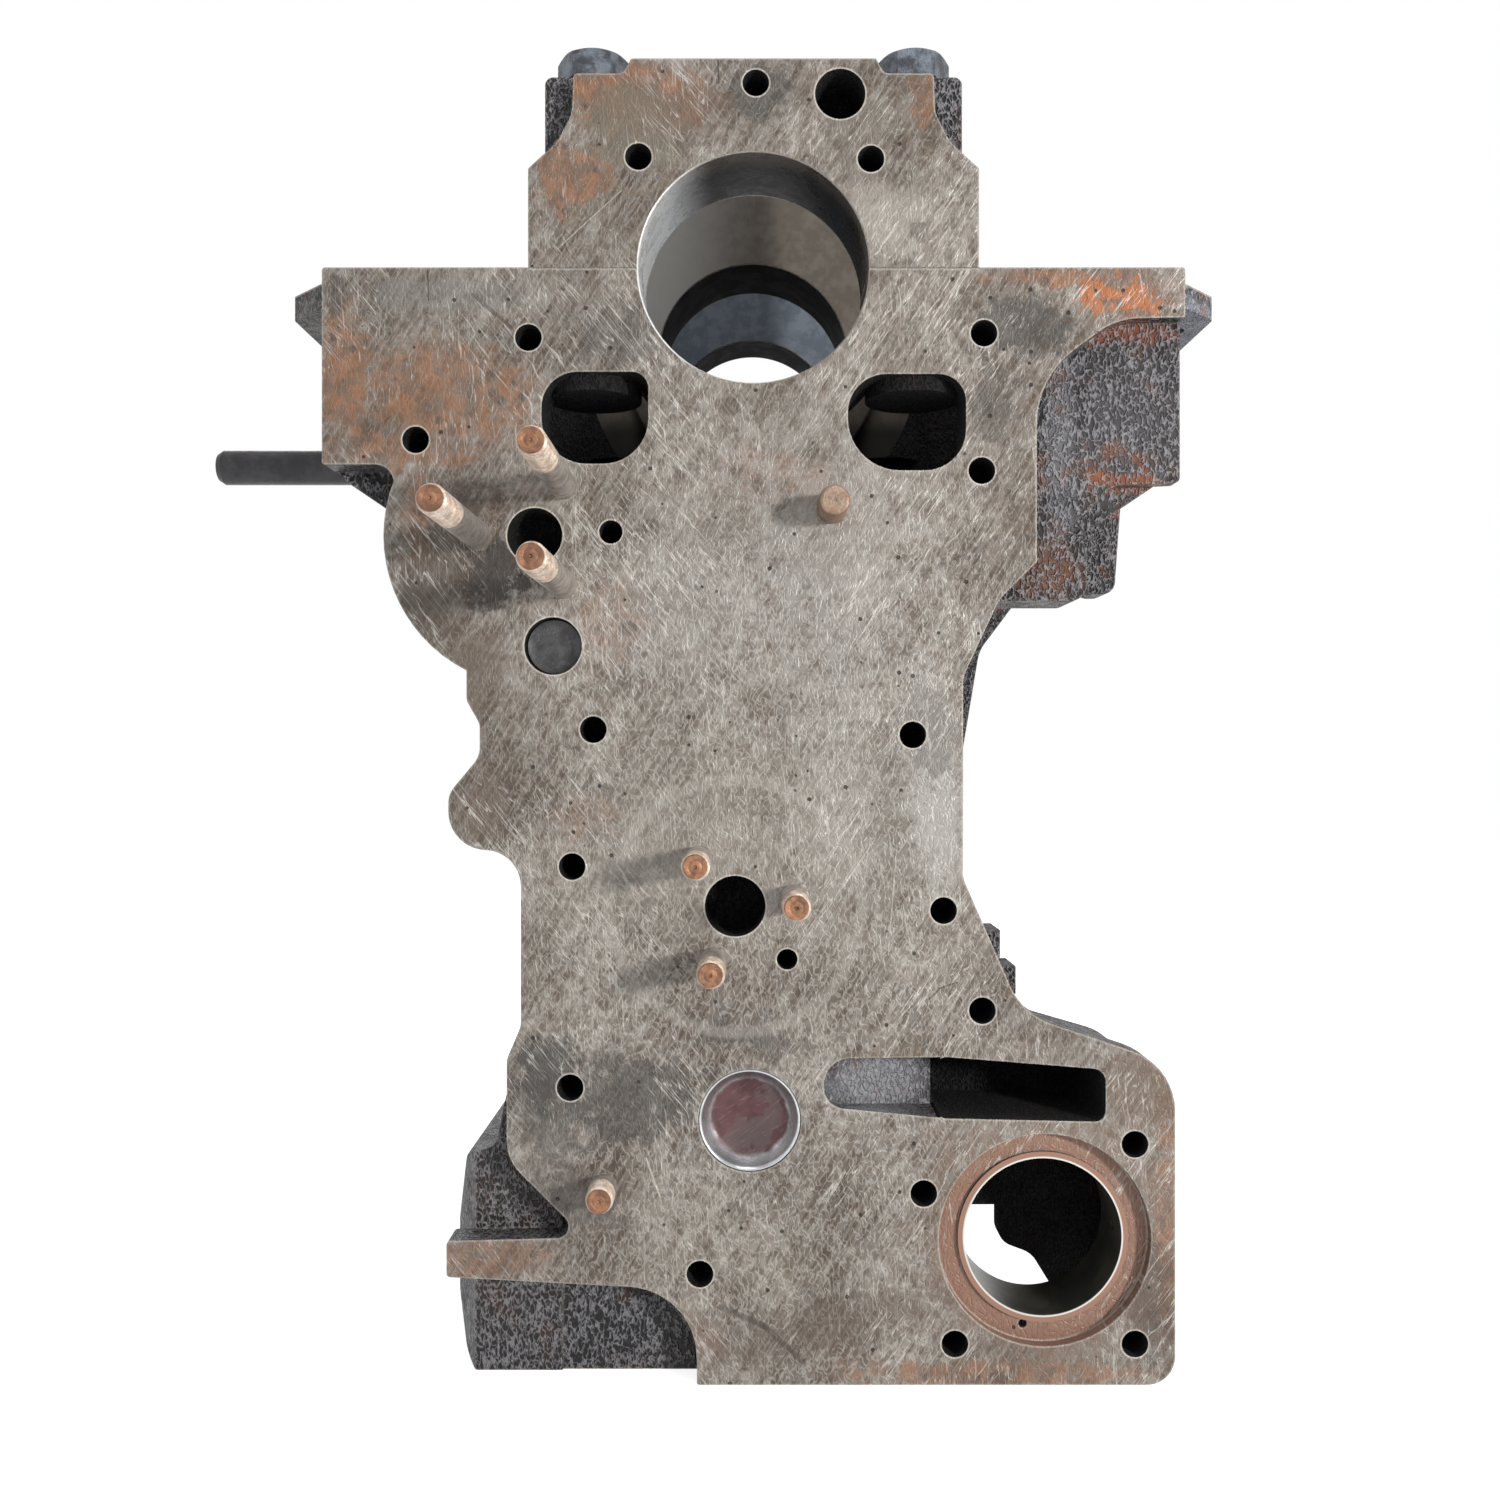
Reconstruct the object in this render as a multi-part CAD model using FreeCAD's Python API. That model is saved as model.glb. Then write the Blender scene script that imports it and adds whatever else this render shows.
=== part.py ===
"""Bare cast-iron cylinder block of an inline two-cylinder diesel engine, with what stays on it when it is stripped.

Millimetres. The origin is on the crank axis, in the plane of the front face. X runs across the block, Y runs
back along the crank, and Z points from the crank to the sump, so the block stands on its cylinder-head deck.
"""
import FreeCAD, Part
import os
from math import cos, pi, radians, sin, tan

V = FreeCAD.Vector
ALONG_X = V(1, 0, 0)
ALONG_Y = V(0, 1, 0)
ALONG_Z = V(0, 0, 1)

# ---- cylinders and crank ----
cylinder_count = 2
cylinder_pitch = 116.0
cylinder_radius = 52.0
cylinder_wall = 7.5
cylinder_bottom_z = -172.0
deck_z = -406.4
crank_bore_radius = 42.0

# ---- bearing walls along the crank ----
web_thickness = 39.5
web_panel = 20.0
front_web_panel = 21.0
bearing_housing_radius = 57.0
rear_web_extra = 12.0
seal_bore_radius = 58.0
seal_bore_depth = 21.5
web_count = cylinder_count + 1
first_web_y = web_thickness / 2
last_web_y = first_web_y + cylinder_count * cylinder_pitch
block_length = last_web_y + web_thickness / 2 + rear_web_extra

# ---- walls ----
front_plate = 13.0
rear_plate = 14.0
skirt_half_width = 157.0
skirt_depth = 72.0
skirt_wall = 10.0
waist_half_width = 75.0
waist_z = -150.0
jacket_bottom_z = -262.0
jacket_gap = 8.0
deck_thickness = 12.0
coolant_hole_radius = 3.6
coolant_hole_turns = (50, 230)

# ---- the left shoulder of the deck ----
deck_rail_x = -113.5
deck_rail_slant = 10.5

# ---- sump rails ----
rail_reach = 21.0
rail_thickness = 9.0
rail_front_y = 18.0
rail_front_slant = 15.0
rail_hole_radius = 4.25
rail_hole_in = 11.0
rail_hole_count = 5

# ---- main bearing caps ----
cap_half_width = 82.0
cap_height = 76.0
cap_crown_half_width = 44.5
cap_front_plate = 8.0
cap_seat_depth = 0.5
cap_body_half_width = 77.0
cap_shoulder_height = 73.0
cap_oil_hole_radius = 9.1
cap_bolt_x = 60.0
cap_bolt_radius = 8.0
cap_bolt_depth = 34.0
cap_bolt_column_radius = 17.8
cap_bolt_column_depth = 46.0
cap_bolt_clearance = 0.5
cap_bolt_head_flats = 24.0
cap_bolt_head_height = 11.5

# ---- tapped holes and studs ----
tapped_radius = 4.8
tapped_depth = 18.0
thread_boss_wall = 5.5
stud_radius = 5.0
stud_seat = 16.0
stud_mouth_depth = 0.5

# ---- idler gear seats on the front face ----
long_idler_x = -79.6
long_idler_z = -97.5
long_idler_boss_radius = 55.0
long_idler_bore_radius = 10.0
long_idler_stud_circle = 20.8
long_idler_stud_length = 75.0
long_idler_stud_angle = 60.0
short_idler_x = -6.7
short_idler_z = -232.3
short_idler_bore_radius = 11.0
short_idler_stud_circle = 21.5
short_idler_stud_length = 33.0
short_idler_stud_angle = 8.0
idler_stud_count = 3
idler_bore_depth = 17.0

# ---- other small pieces on the front face ----
cover_stud_x = -54.6
cover_stud_z = deck_z + 71.7
cover_stud_length = 16.0
dowel_x = 28.5
dowel_z = -87.7
dowel_radius = 5.5
dowel_length = 18.0
dowel_seat = 14.0
gallery_x = -72.9
gallery_z = -137.7
gallery_radius = 7.0
gallery_mouth_radius = 10.4
gallery_mouth_depth = 16.0
gallery_plug_recess = 4.0
gallery_plug_thickness = 6.0
gallery_boss_radius = 18.0
core_plug_x = -1.4
core_plug_z = deck_z + 96.1
core_plug_radius = 18.7
core_plug_depth = 9.0
core_plug_recess = 0.3
core_plug_wall = 1.8

# ---- water pump seat in the front plate's lower lobe ----
pump_x = 106.0
pump_z = deck_z + 52.6
pump_face_radius = 38.7
pump_face_depth = 5.0
bush_bore_radius = 28.8
bush_wall = 2.4
bush_front_y = 3.6
bush_back_y = 33.0
bush_slot_radius = 2.2
bush_slot_y = 17.0
pump_boss_radius = 41.0
pump_drain_radius = 1.6
pump_drain_x = pump_x - 7.2
pump_drain_z = pump_z - 32.3
pump_room_wall = 8.0
pump_room_back_y = 52.0

# ---- coolant slot above the pump seat ----
slot_left_x = 25.5
slot_right_x = 128.1
slot_top_z = deck_z + 119.2
slot_bottom_z = deck_z + 95.6
slot_shelf_x = 67.0
slot_shelf_depth = 9.0
slot_shelf_fall = 12.0
slot_depth = 44.0

# ---- rough bosses and lugs of the right side ----
mount_boss_x = 124.0
mount_boss_top_z = -94.0
mount_boss_bottom_z = -120.0
mount_boss_depth = 26.0
skirt_lug_x = skirt_half_width - 14
skirt_lug_z = -112.0
skirt_lug_y = 60.0
skirt_lug_thickness = 18.0
side_lug_x = 98.0
side_lug_y = 46.0
side_lug_z = -258.0
side_lug_height = 11.0
relief_depth = 6.5

# ---- side, deck and rear details ----
side_rod_radius = 7.0
side_rod_y = 65.0
side_rod_z = -59.6
side_rod_tip_x = -219.0
side_rod_seat = 8.0
side_plug_radius = 20.0
side_plug_z = deck_z + 76.4
head_bolt_x = 60.0
head_bolt_radius = 6.9
head_bolt_depth = 60.0
head_bolt_end = 52.0
deck_dowel_radius = 8.0
deck_dowel_bore = 6.0
deck_dowel_seat = 8.0
deck_dowel_x = deck_rail_x + 23.5
deck_dowel_end = 60.0
rear_dowel_radius = 6.0
rear_dowel_length = 14.0
rear_dowel_x = 120.0
rear_dowel_z = -40.0
housing_bolt_radius = 5.2
housing_bolt_edge = skirt_half_width - 17
housing_bolt_shoulder = 104.0
housing_bolt_waist = 84.0
housing_bolt_foot = 78.0
seal_bolt_circle = 66.5
seal_bolt_radius = 3.4
seal_bolt_count = 6
seal_bolt_depth = 14.0


def web_centre(index):
    return first_web_y + index * cylinder_pitch


def cylinder_centre(index):
    return web_centre(index) + cylinder_pitch / 2


def rod(radius, base, direction, length):
    return Part.makeCylinder(radius, length, base, direction)


def block_between(x0, x1, y0, y1, z0, z1):
    return Part.makeBox(x1 - x0, y1 - y0, z1 - z0, V(x0, y0, z0))


def rounded_wire(corners, place):
    """A closed wire through (u, v, radius) corners. place turns u and v into a point in space."""
    starts = []
    middles = []
    ends = []
    for i, (u, v, radius) in enumerate(corners):
        here = V(u, v, 0)
        before = V(corners[i - 1][0], corners[i - 1][1], 0)
        after = V(corners[(i + 1) % len(corners)][0], corners[(i + 1) % len(corners)][1], 0)
        back = (before - here).normalize()
        ahead = (after - here).normalize()
        half_angle = back.getAngle(ahead) / 2
        run = radius / tan(half_angle)
        centre = here + (back + ahead).normalize() * (radius / sin(half_angle))
        starts.append(here + back * run)
        middles.append(centre + (here - centre).normalize() * radius if radius else here)
        ends.append(here + ahead * run)
    edges = []
    for i, (u, v, radius) in enumerate(corners):
        start = place(starts[i].x, starts[i].y)
        end = place(ends[i].x, ends[i].y)
        if radius:
            edges.append(Part.Arc(start, place(middles[i].x, middles[i].y), end).toShape())
        following = starts[(i + 1) % len(corners)]
        if (following - ends[i]).Length > 1e-6:
            edges.append(Part.LineSegment(end, place(following.x, following.y)).toShape())
    return Part.Wire(edges)


def slab(corners, y0, y1):
    """A plate with an (x, z, radius) outline between two planes across the crank axis."""
    face = Part.Face(rounded_wire(corners, lambda x, z: V(x, y0, z)))
    return face.extrude(V(0, y1 - y0, 0))


def upright_slab(corners, z0, z1):
    """A plate with an (x, y, radius) outline between two level planes."""
    face = Part.Face(rounded_wire(corners, lambda x, y: V(x, y, z0)))
    return face.extrude(V(0, 0, z1 - z0))


def turned(profile, centre, axis):
    """A turned piece. profile is (radius, height) points, and the axis is Y or Z through centre."""
    if axis is ALONG_Y:
        points = [centre + V(r, h, 0) for r, h in profile]
    else:
        points = [centre + V(r, 0, h) for r, h in profile]
    face = Part.Face(Part.makePolygon(points + [points[0]]))
    return face.revolve(centre, axis, 360)


def drilling(radius, x, z, depth):
    """A hole drilled into the front face."""
    return rod(radius, V(x, -1, z), ALONG_Y, depth + 1)


def mirrored(corners):
    """The whole outline of a form that is the same left and right, from its right half."""
    return corners + [(-x, z, radius) for x, z, radius in reversed(corners)]


# ---- the casting: outer forms ----
def front_outline():
    right_waist = waist_half_width + 1.2
    left_waist = -waist_half_width - 9.7
    lobe = pump_x + 47.4
    return [
        (-skirt_half_width, 0, 1.3),
        (skirt_half_width, 0, 1.3),
        (skirt_half_width, -skirt_depth - 5, 2),
        (132.5, -78.0, 9),
        (89.5, -120.5, 20),
        (right_waist, waist_z + 1, 12),
        (right_waist, -222.0, 10),
        (97.8, slot_top_z + 15.6, 26),
        (lobe, slot_top_z - 3.1, 23),
        (lobe, deck_z, 10.5),
        (-20.6, deck_z, 1),
        (-20.6, deck_z + 34.4, 26),
        (-111.7, deck_z + 39.2, 1.5),
        (-111.7, deck_z + 52.3, 1.5),
        (-61.5, deck_z + 53.6, 4.3),
        (-89.8, deck_z + 81.9, 17),
        (-89.8, deck_z + 118.4, 8),
        (left_waist, deck_z + 130.4, 8),
        (left_waist, -213.0, 13),
        (-111.0, -210.8, 14),
        (-111.0, -191.5, 9),
        (-99.6, -177.8, 9),
        (-99.6, -166.0, 5),
        (-104.4, -157.5, 5),
        (-104.4, -130.0, 0),
        (-130.8, -100.0, 0),
        (-130.8, -skirt_depth + 0.4, 7),
        (-skirt_half_width, -skirt_depth + 0.4, 1),
    ]


def front_plate_solid():
    plate = slab(front_outline(), 0, front_plate)
    boss = rod(long_idler_boss_radius, V(long_idler_x, 0, long_idler_z), ALONG_Y, front_plate)
    return plate.fuse(boss)


def body_section(inset):
    """Half of the crankcase and cylinder section, inset from its outside."""
    half_skirt = skirt_half_width - inset
    half_waist = waist_half_width - inset
    fillet = max(14 - inset / 2, 4)
    return half_skirt, half_waist, fillet


def crankcase_solid():
    half_skirt, half_waist, fillet = body_section(0)
    corners = [
        (half_skirt, 0, 0),
        (half_skirt, -skirt_depth, fillet),
        (half_waist + 14, -118.0, 24),
        (half_waist, waist_z, 16),
        (half_waist, deck_z, 0),
    ]
    return slab(mirrored(corners), front_plate, block_length)


def crank_bay(index):
    """The open space that one crank throw turns in, between two bearing walls."""
    half_skirt, half_waist, _ = body_section(skirt_wall)
    corners = [
        (half_skirt, 1, 0),
        (half_skirt, -skirt_depth + 4, 12),
        (half_waist + 9, -108.0, 22),
        (cylinder_radius + 4, -148.0, 14),
        (cylinder_radius + 4, cylinder_bottom_z - 4, 4),
    ]
    y0 = web_centre(index) + web_panel / 2 if index else front_web_panel
    y1 = web_centre(index + 1) - web_panel / 2
    bay = slab(mirrored(corners), y0, y1)
    return bay.cut(bearing_housing(index) + bearing_housing(index + 1))


def bearing_housing(index):
    """What stands out of a bearing wall's thin panel: the ring round the crank, and the bolts' columns."""
    y0 = web_centre(index) - web_thickness / 2
    found = [rod(bearing_housing_radius, V(0, y0, 0), ALONG_Y, web_thickness)]
    for side in (-1, 1):
        top = V(side * cap_bolt_x, web_centre(index), 2)
        found.append(rod(cap_bolt_column_radius, top, -ALONG_Z, cap_bolt_column_depth))
    return found


def rear_plate_solid():
    corners = [
        (skirt_half_width, 0, 1.3),
        (skirt_half_width, -skirt_depth - 8, 20),
        (housing_bolt_shoulder + 23, waist_z + 30, 20),
        (housing_bolt_waist + 28, -210.0, 50),
        (housing_bolt_foot + 14, -300.0, 40),
        (housing_bolt_foot + 14, deck_z, 4),
    ]
    return slab(mirrored(corners), block_length - rear_plate, block_length)


def sump_rail(side):
    """One outward rail that the sump bolts to. side is 1 on the right and -1 on the left."""
    inner = side * (skirt_half_width - 2)
    edge = side * (skirt_half_width + rail_reach)
    root = side * (skirt_half_width + 6)
    corners = [
        (inner, rail_front_y, 0),
        (root, rail_front_y, 2),
        (edge, rail_front_y + rail_front_slant, 4),
        (edge, block_length - rear_plate + 2, 0),
        (inner, block_length - rear_plate + 2, 0),
    ]
    return upright_slab(corners, -rail_thickness, 0)


def deck_rail():
    """The long hollow shoulder on the left of the deck, rough cast, that starts behind the front plate."""
    corners = [
        (-waist_half_width + 4, deck_z + 112, 0),
        (deck_rail_x + 22, deck_z + 105, 6),
        (deck_rail_x + 17.5, deck_z + 83.4, 5),
        (deck_rail_x + 5, deck_z + 79.9, 8),
        (deck_rail_x, deck_z + 50.4, 10),
        (deck_rail_x, deck_z + 22.4, 20),
        (deck_rail_x + 5.5, deck_z, 8),
        (-waist_half_width + 4, deck_z, 0),
    ]
    rail = slab(corners, front_plate - 1, block_length - rear_plate)
    slant = [
        (deck_rail_x - 1, front_plate - 2, 0),
        (deck_rail_x + deck_rail_slant, front_plate - 2, 0),
        (deck_rail_x - 1, front_plate + 2 * deck_rail_slant, 0),
    ]
    return rail.cut(upright_slab(slant, deck_z - 1, deck_z + 120))


def right_mount_boss():
    """A rough boss on the right, just behind the front plate, under the skirt."""
    corners = [
        (waist_half_width, mount_boss_top_z, 0),
        (mount_boss_x, mount_boss_top_z, 9),
        (mount_boss_x, mount_boss_bottom_z, 6),
        (waist_half_width, mount_boss_bottom_z, 0),
    ]
    return slab(corners, front_plate - 2, front_plate + mount_boss_depth)


def skirt_lug():
    """A lug that hangs from the right skirt, for an engine bearer."""
    corners = [
        (skirt_lug_x - 17, -skirt_depth + 2, 0),
        (skirt_lug_x + 7, -skirt_depth + 2, 0),
        (skirt_lug_x + 4, skirt_lug_z, 5),
        (skirt_lug_x - 7, skirt_lug_z, 5),
    ]
    return slab(corners, skirt_lug_y, skirt_lug_y + skirt_lug_thickness)


def side_lugs():
    """Two stepped lugs low on the right wall, behind the front plate."""
    found = []
    for step in range(2):
        reach = side_lug_x + step * 7
        y = side_lug_y + step * 4
        z = side_lug_z - step * 15
        found.append(block_between(waist_half_width - 4, reach, y, y + 2 * side_lug_height, z, z + side_lug_height))
    return found


def gusset(index, side):
    """A rib from the skirt to the waist beside a bearing wall."""
    corners = [
        (side * (waist_half_width - 3), -100.0, 0),
        (side * (skirt_half_width - 25), -76.0, 0),
        (side * (waist_half_width - 3), waist_z - 8, 0),
    ]
    return slab(corners, web_centre(index) - 5, web_centre(index) + 5)


def gallery_boss():
    return rod(gallery_boss_radius, V(gallery_x, front_plate - 1, gallery_z), ALONG_Y, block_length - rear_plate)


def pump_room_shell():
    """The casting behind the lobe: the coolant slot's walls, and the wall round the water pump's back."""
    lobe = pump_x + 44.0
    corners = [
        (waist_half_width - 5, slot_top_z + 11, 0),
        (100.0, slot_top_z + 9.5, 20),
        (lobe, slot_top_z - 5, 20),
        (lobe, deck_z + 30, 12),
        (122.0, deck_z + 12, 6),
        (111.5, deck_z + 29, 10),
        (98.0, deck_z + 34, 8),
        (98.0, deck_z + 48.5, 0),
        (waist_half_width - 5, deck_z + 48.5, 0),
    ]
    return slab(corners, front_plate - 1, pump_room_back_y + pump_room_wall)


def pump_room():
    """The space behind the water pump's seat, open towards the deck."""
    lobe = pump_x + 44.0 - pump_room_wall
    corners = [
        (waist_half_width, slot_bottom_z - 5.5, 0),
        (lobe, slot_bottom_z - 5.5, 14),
        (lobe, deck_z + 5, 0),
        (waist_half_width, deck_z + 5, 0),
    ]
    return slab(corners, front_plate, pump_room_back_y)


def pump_boss():
    return rod(pump_boss_radius, V(pump_x, front_plate - 1, pump_z), ALONG_Y, bush_back_y - front_plate)


def thread_boss(x, z):
    """Metal behind the thin front plate, for a tapped hole."""
    return rod(tapped_radius + thread_boss_wall, V(x, front_plate - 1, z), ALONG_Y, tapped_depth - front_plate + 6)


# ---- the casting: openings ----
def face_holes():
    """The tapped holes of the front face, as (x, z)."""
    return [
        (-81.9, -25.5),
        (83.8, -23.9),
        (-122.9, -62.7),
        (83.0, -73.9),
        (-58.3, -168.1),
        (57.9, -170.0),
        (-66.0, -217.9),
        (69.1, -233.9),
        (83.2, -270.3),
        (-66.7, deck_z + 108.1),
        (61.9, deck_z + 69.6),
        (pump_x + 32.7, deck_z + 87.5),
        (pump_x - 32.8, deck_z + 14.9),
        (pump_x + 32.7, deck_z + 14.9),
        (-19.5, deck_z + 40.3),
    ]


def lobe_holes():
    """Those of the tapped holes that need a boss behind the plate."""
    return [(x, z) for x, z in face_holes() if x + tapped_radius > waist_half_width and z < waist_z]


def oil_holes():
    """Small plain holes in the front face, as (x, z, radius)."""
    return [
        (-51.9, -96.2, 4.2),
        (12.2, -251.6, 3.7),
    ]


def windows():
    """The two rounded openings under the crank bore."""
    left = [
        (-77.2, -37.9, 13),
        (-38.3, -37.9, 6),
        (-38.3, -71.4, 16.5),
        (-77.2, -71.4, 16.5),
    ]
    right = [
        (34.3, -38.7, 14),
        (77.3, -38.7, 10),
        (77.3, -73.8, 15),
        (34.3, -73.8, 19),
    ]
    return left, right


def water_jacket():
    outer = []
    inner = []
    z1 = jacket_bottom_z
    z0 = deck_z + deck_thickness
    inner_radius = cylinder_radius + cylinder_wall
    for i in range(cylinder_count):
        base = V(0, cylinder_centre(i), z0)
        outer.append(rod(inner_radius + jacket_gap, base, ALONG_Z, z1 - z0))
        inner.append(rod(inner_radius, base, ALONG_Z, z1 - z0))
    jacket = outer[0].multiFuse(outer[1:])
    jacket = jacket.cut(inner[0].multiFuse(inner[1:]))
    return jacket


def coolant_slot():
    """The slot in the front face: a sloping rough shelf on the left, and a deep part into the jacket."""
    height = slot_top_z - slot_bottom_z
    shelf = [
        (slot_left_x, slot_top_z - 0.5, height / 2 - 2),
        (slot_shelf_x + 1, slot_top_z, 0),
        (slot_shelf_x + 1, slot_bottom_z + 1.5, 0),
        (slot_left_x, slot_bottom_z + 5.5, 8),
    ]
    deep = [
        (slot_shelf_x, slot_top_z + 0.3, 3),
        (slot_right_x, slot_top_z - 4.5, 5),
        (slot_right_x, slot_bottom_z, 4),
        (slot_shelf_x, slot_bottom_z + 1.3, 3),
    ]
    shelf_solid = slab(shelf, 0, slot_shelf_depth + slot_shelf_fall)
    ramp = [
        (slot_left_x - 2, 0.5, 0),
        (slot_left_x + 8, slot_shelf_depth - 1, 10),
        (slot_shelf_x + 2, slot_shelf_depth + slot_shelf_fall, 0),
        (slot_shelf_x + 2, -1, 0),
        (slot_left_x - 2, -1, 0),
    ]
    ramp_solid = upright_slab(ramp, slot_bottom_z - 2, slot_top_z + 2)
    inlet = block_between(48, 84, 22, slot_depth, slot_bottom_z + 3, slot_top_z - 3)
    return [shelf_solid.common(ramp_solid), slab(deep, 0, slot_depth), inlet]


def skirt_relief():
    """The scooped rough recess at the right of the front face."""
    corners = [
        (skirt_half_width + 4, -18.0, 0),
        (skirt_half_width - 25, -18.6, 26),
        (skirt_half_width - 54, -40.0, 34),
        (skirt_half_width - 54, -112.0, 0),
        (skirt_half_width + 4, -112.0, 0),
    ]
    return slab(corners, -1, relief_depth)


def casting():
    solid = front_plate_solid()
    outside = [crankcase_solid(), rear_plate_solid(), sump_rail(1), sump_rail(-1), deck_rail()]
    outside += [right_mount_boss(), skirt_lug(), gallery_boss(), pump_room_shell()]
    outside += side_lugs()
    for i in range(1, web_count):
        outside.append(gusset(i, 1))
        outside.append(gusset(i, -1))
    solid = solid.multiFuse(outside)
    solid = solid.cut(pump_room())
    solid = solid.multiFuse([pump_boss()] + [thread_boss(x, z) for x, z in lobe_holes()])
    solid = solid.removeSplitter()

    holes = []
    crank_bore = rod(crank_bore_radius, V(0, -1, 0), ALONG_Y, block_length + 2)
    holes.append(crank_bore)
    jacket = water_jacket()
    bosses = [rod(tapped_radius + 4.5, V(x, 0, z), ALONG_Y, tapped_depth + 4) for x, z in face_holes()]
    holes.append(jacket.cut(bosses[0].multiFuse(bosses[1:])))
    for i in range(cylinder_count):
        holes.append(crank_bay(i))
        base = V(0, cylinder_centre(i), deck_z - 1)
        holes.append(rod(cylinder_radius, base, ALONG_Z, cylinder_bottom_z - deck_z + 2))
        for turn in coolant_hole_turns:
            reach = cylinder_radius + cylinder_wall + jacket_gap / 2
            x = reach * cos(radians(turn))
            y = cylinder_centre(i) + reach * sin(radians(turn))
            holes.append(rod(coolant_hole_radius, V(x, y, deck_z - 1), ALONG_Z, deck_thickness + 2))
    for outline in windows():
        holes.append(slab(outline, -1, front_web_panel).cut(bearing_housing(0)[1:]))
    holes.append(skirt_relief())
    holes += coolant_slot()
    for x, z in face_holes():
        holes.append(drilling(tapped_radius, x, z, tapped_depth))
    for x, z, radius in oil_holes():
        holes.append(drilling(radius, x, z, idler_bore_depth))
    holes.append(drilling(long_idler_bore_radius, long_idler_x, long_idler_z, idler_bore_depth))
    holes.append(drilling(short_idler_bore_radius, short_idler_x, short_idler_z, idler_bore_depth))
    for x, z, _ in stud_places():
        holes.append(drilling(tapped_radius, x, z, stud_seat))
        holes.append(drilling(stud_radius, x, z, stud_mouth_depth))
    holes.append(drilling(dowel_radius, dowel_x, dowel_z, dowel_seat))
    holes.append(drilling(gallery_mouth_radius, gallery_x, gallery_z, gallery_mouth_depth))
    holes.append(rod(gallery_radius, V(gallery_x, 0, gallery_z), ALONG_Y, block_length + 1))
    holes.append(rod(core_plug_radius, V(core_plug_x, -1, core_plug_z), ALONG_Y, front_plate + 5))
    holes.append(rod(pump_face_radius, V(pump_x, -1, pump_z), ALONG_Y, pump_face_depth + 1))
    holes.append(rod(bush_bore_radius + bush_wall, V(pump_x, 0, pump_z), ALONG_Y, bush_back_y + 2))
    holes.append(rod(pump_drain_radius, V(pump_drain_x, pump_face_depth - 1, pump_drain_z), ALONG_Y, 5))
    holes += cap_seats() + side_holes() + deck_holes() + rail_holes() + rear_holes() + cap_bolt_holes()
    solid = solid.cut(holes)
    return solid.removeSplitter()


def side_holes():
    found = [rod(side_rod_radius, V(-skirt_half_width - 1, side_rod_y, side_rod_z), ALONG_X, side_rod_seat + 1)]
    for i in range(cylinder_count):
        base = V(waist_half_width - jacket_gap - 3, cylinder_centre(i), side_plug_z)
        found.append(rod(side_plug_radius, base, ALONG_X, jacket_gap + 6))
    return found


def deck_holes():
    found = []
    for y in head_bolt_rows():
        for x in (-head_bolt_x, head_bolt_x):
            found.append(rod(head_bolt_radius, V(x, y, deck_z - 1), ALONG_Z, head_bolt_depth + 1))
    for y in deck_dowel_places():
        found.append(rod(deck_dowel_radius, V(deck_dowel_x, y, deck_z - 1), ALONG_Z, deck_dowel_seat + 1))
    return found


def head_bolt_rows():
    """Where the pairs of head bolts stand along the crank: between the cylinders, and at both ends."""
    between = [web_centre(i) for i in range(1, cylinder_count)]
    return [cylinder_centre(0) - head_bolt_end] + between + [cylinder_centre(cylinder_count - 1) + head_bolt_end]


def deck_dowel_places():
    return [deck_dowel_end, block_length - deck_dowel_end]


def rail_holes():
    found = []
    x = skirt_half_width + rail_reach - rail_hole_in
    first = rail_front_y + rail_front_slant + 14
    step = (block_length - rear_plate - 16 - first) / (rail_hole_count - 1)
    for i in range(rail_hole_count):
        for side in (-1, 1):
            base = V(side * x, first + i * step, -rail_thickness - 1)
            found.append(rod(rail_hole_radius, base, ALONG_Z, rail_thickness + 2))
    return found


def housing_holes():
    """Where the flywheel housing bolts to the rear face, as (x, z)."""
    right = [
        (housing_bolt_edge, -16.0),
        (housing_bolt_edge, -70.0),
        (housing_bolt_shoulder, -142.0),
        (housing_bolt_waist, -212.0),
        (housing_bolt_foot, deck_z + 116.4),
        (housing_bolt_foot, deck_z + 36.4),
    ]
    return right + [(-x, z) for x, z in right]


def rear_holes():
    found = []
    for x, z in housing_holes():
        found.append(rod(housing_bolt_radius, V(x, block_length + 1, z), -ALONG_Y, rear_plate + 9))
    for side in (-1, 1):
        base = V(side * rear_dowel_x, block_length + 1, rear_dowel_z)
        found.append(rod(rear_dowel_radius, base, -ALONG_Y, rear_dowel_length / 2 + 1))
    found.append(seal_bore())
    return found + seal_holes()


def seal_holes():
    found = []
    for i in range(seal_bolt_count):
        turn = 2 * pi * (i + 0.5) / seal_bolt_count
        base = V(seal_bolt_circle * cos(turn), block_length + 1, seal_bolt_circle * sin(turn))
        found.append(rod(seal_bolt_radius, base, -ALONG_Y, seal_bolt_depth + 1))
    return found


def cap_spans():
    """From where to where each main bearing cap reaches along the crank."""
    spans = []
    for i in range(web_count):
        spans.append((web_centre(i) - web_thickness / 2, web_centre(i) + web_thickness / 2))
    spans[-1] = (spans[-1][0], block_length)
    return spans


def cap_seats():
    """The shallow registers that the caps' feet stand in."""
    found = [block_between(-cap_half_width, cap_half_width, -1, cap_front_plate, -cap_seat_depth, 1)]
    for y0, y1 in cap_spans():
        found.append(block_between(-cap_body_half_width, cap_body_half_width, y0, y1, -cap_seat_depth, 1))
    return found


def seal_bore():
    """The recess for the rear crank seal, half in the block and half in the rear cap."""
    return rod(seal_bore_radius, V(0, block_length - seal_bore_depth, 0), ALONG_Y, seal_bore_depth + 1)


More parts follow.
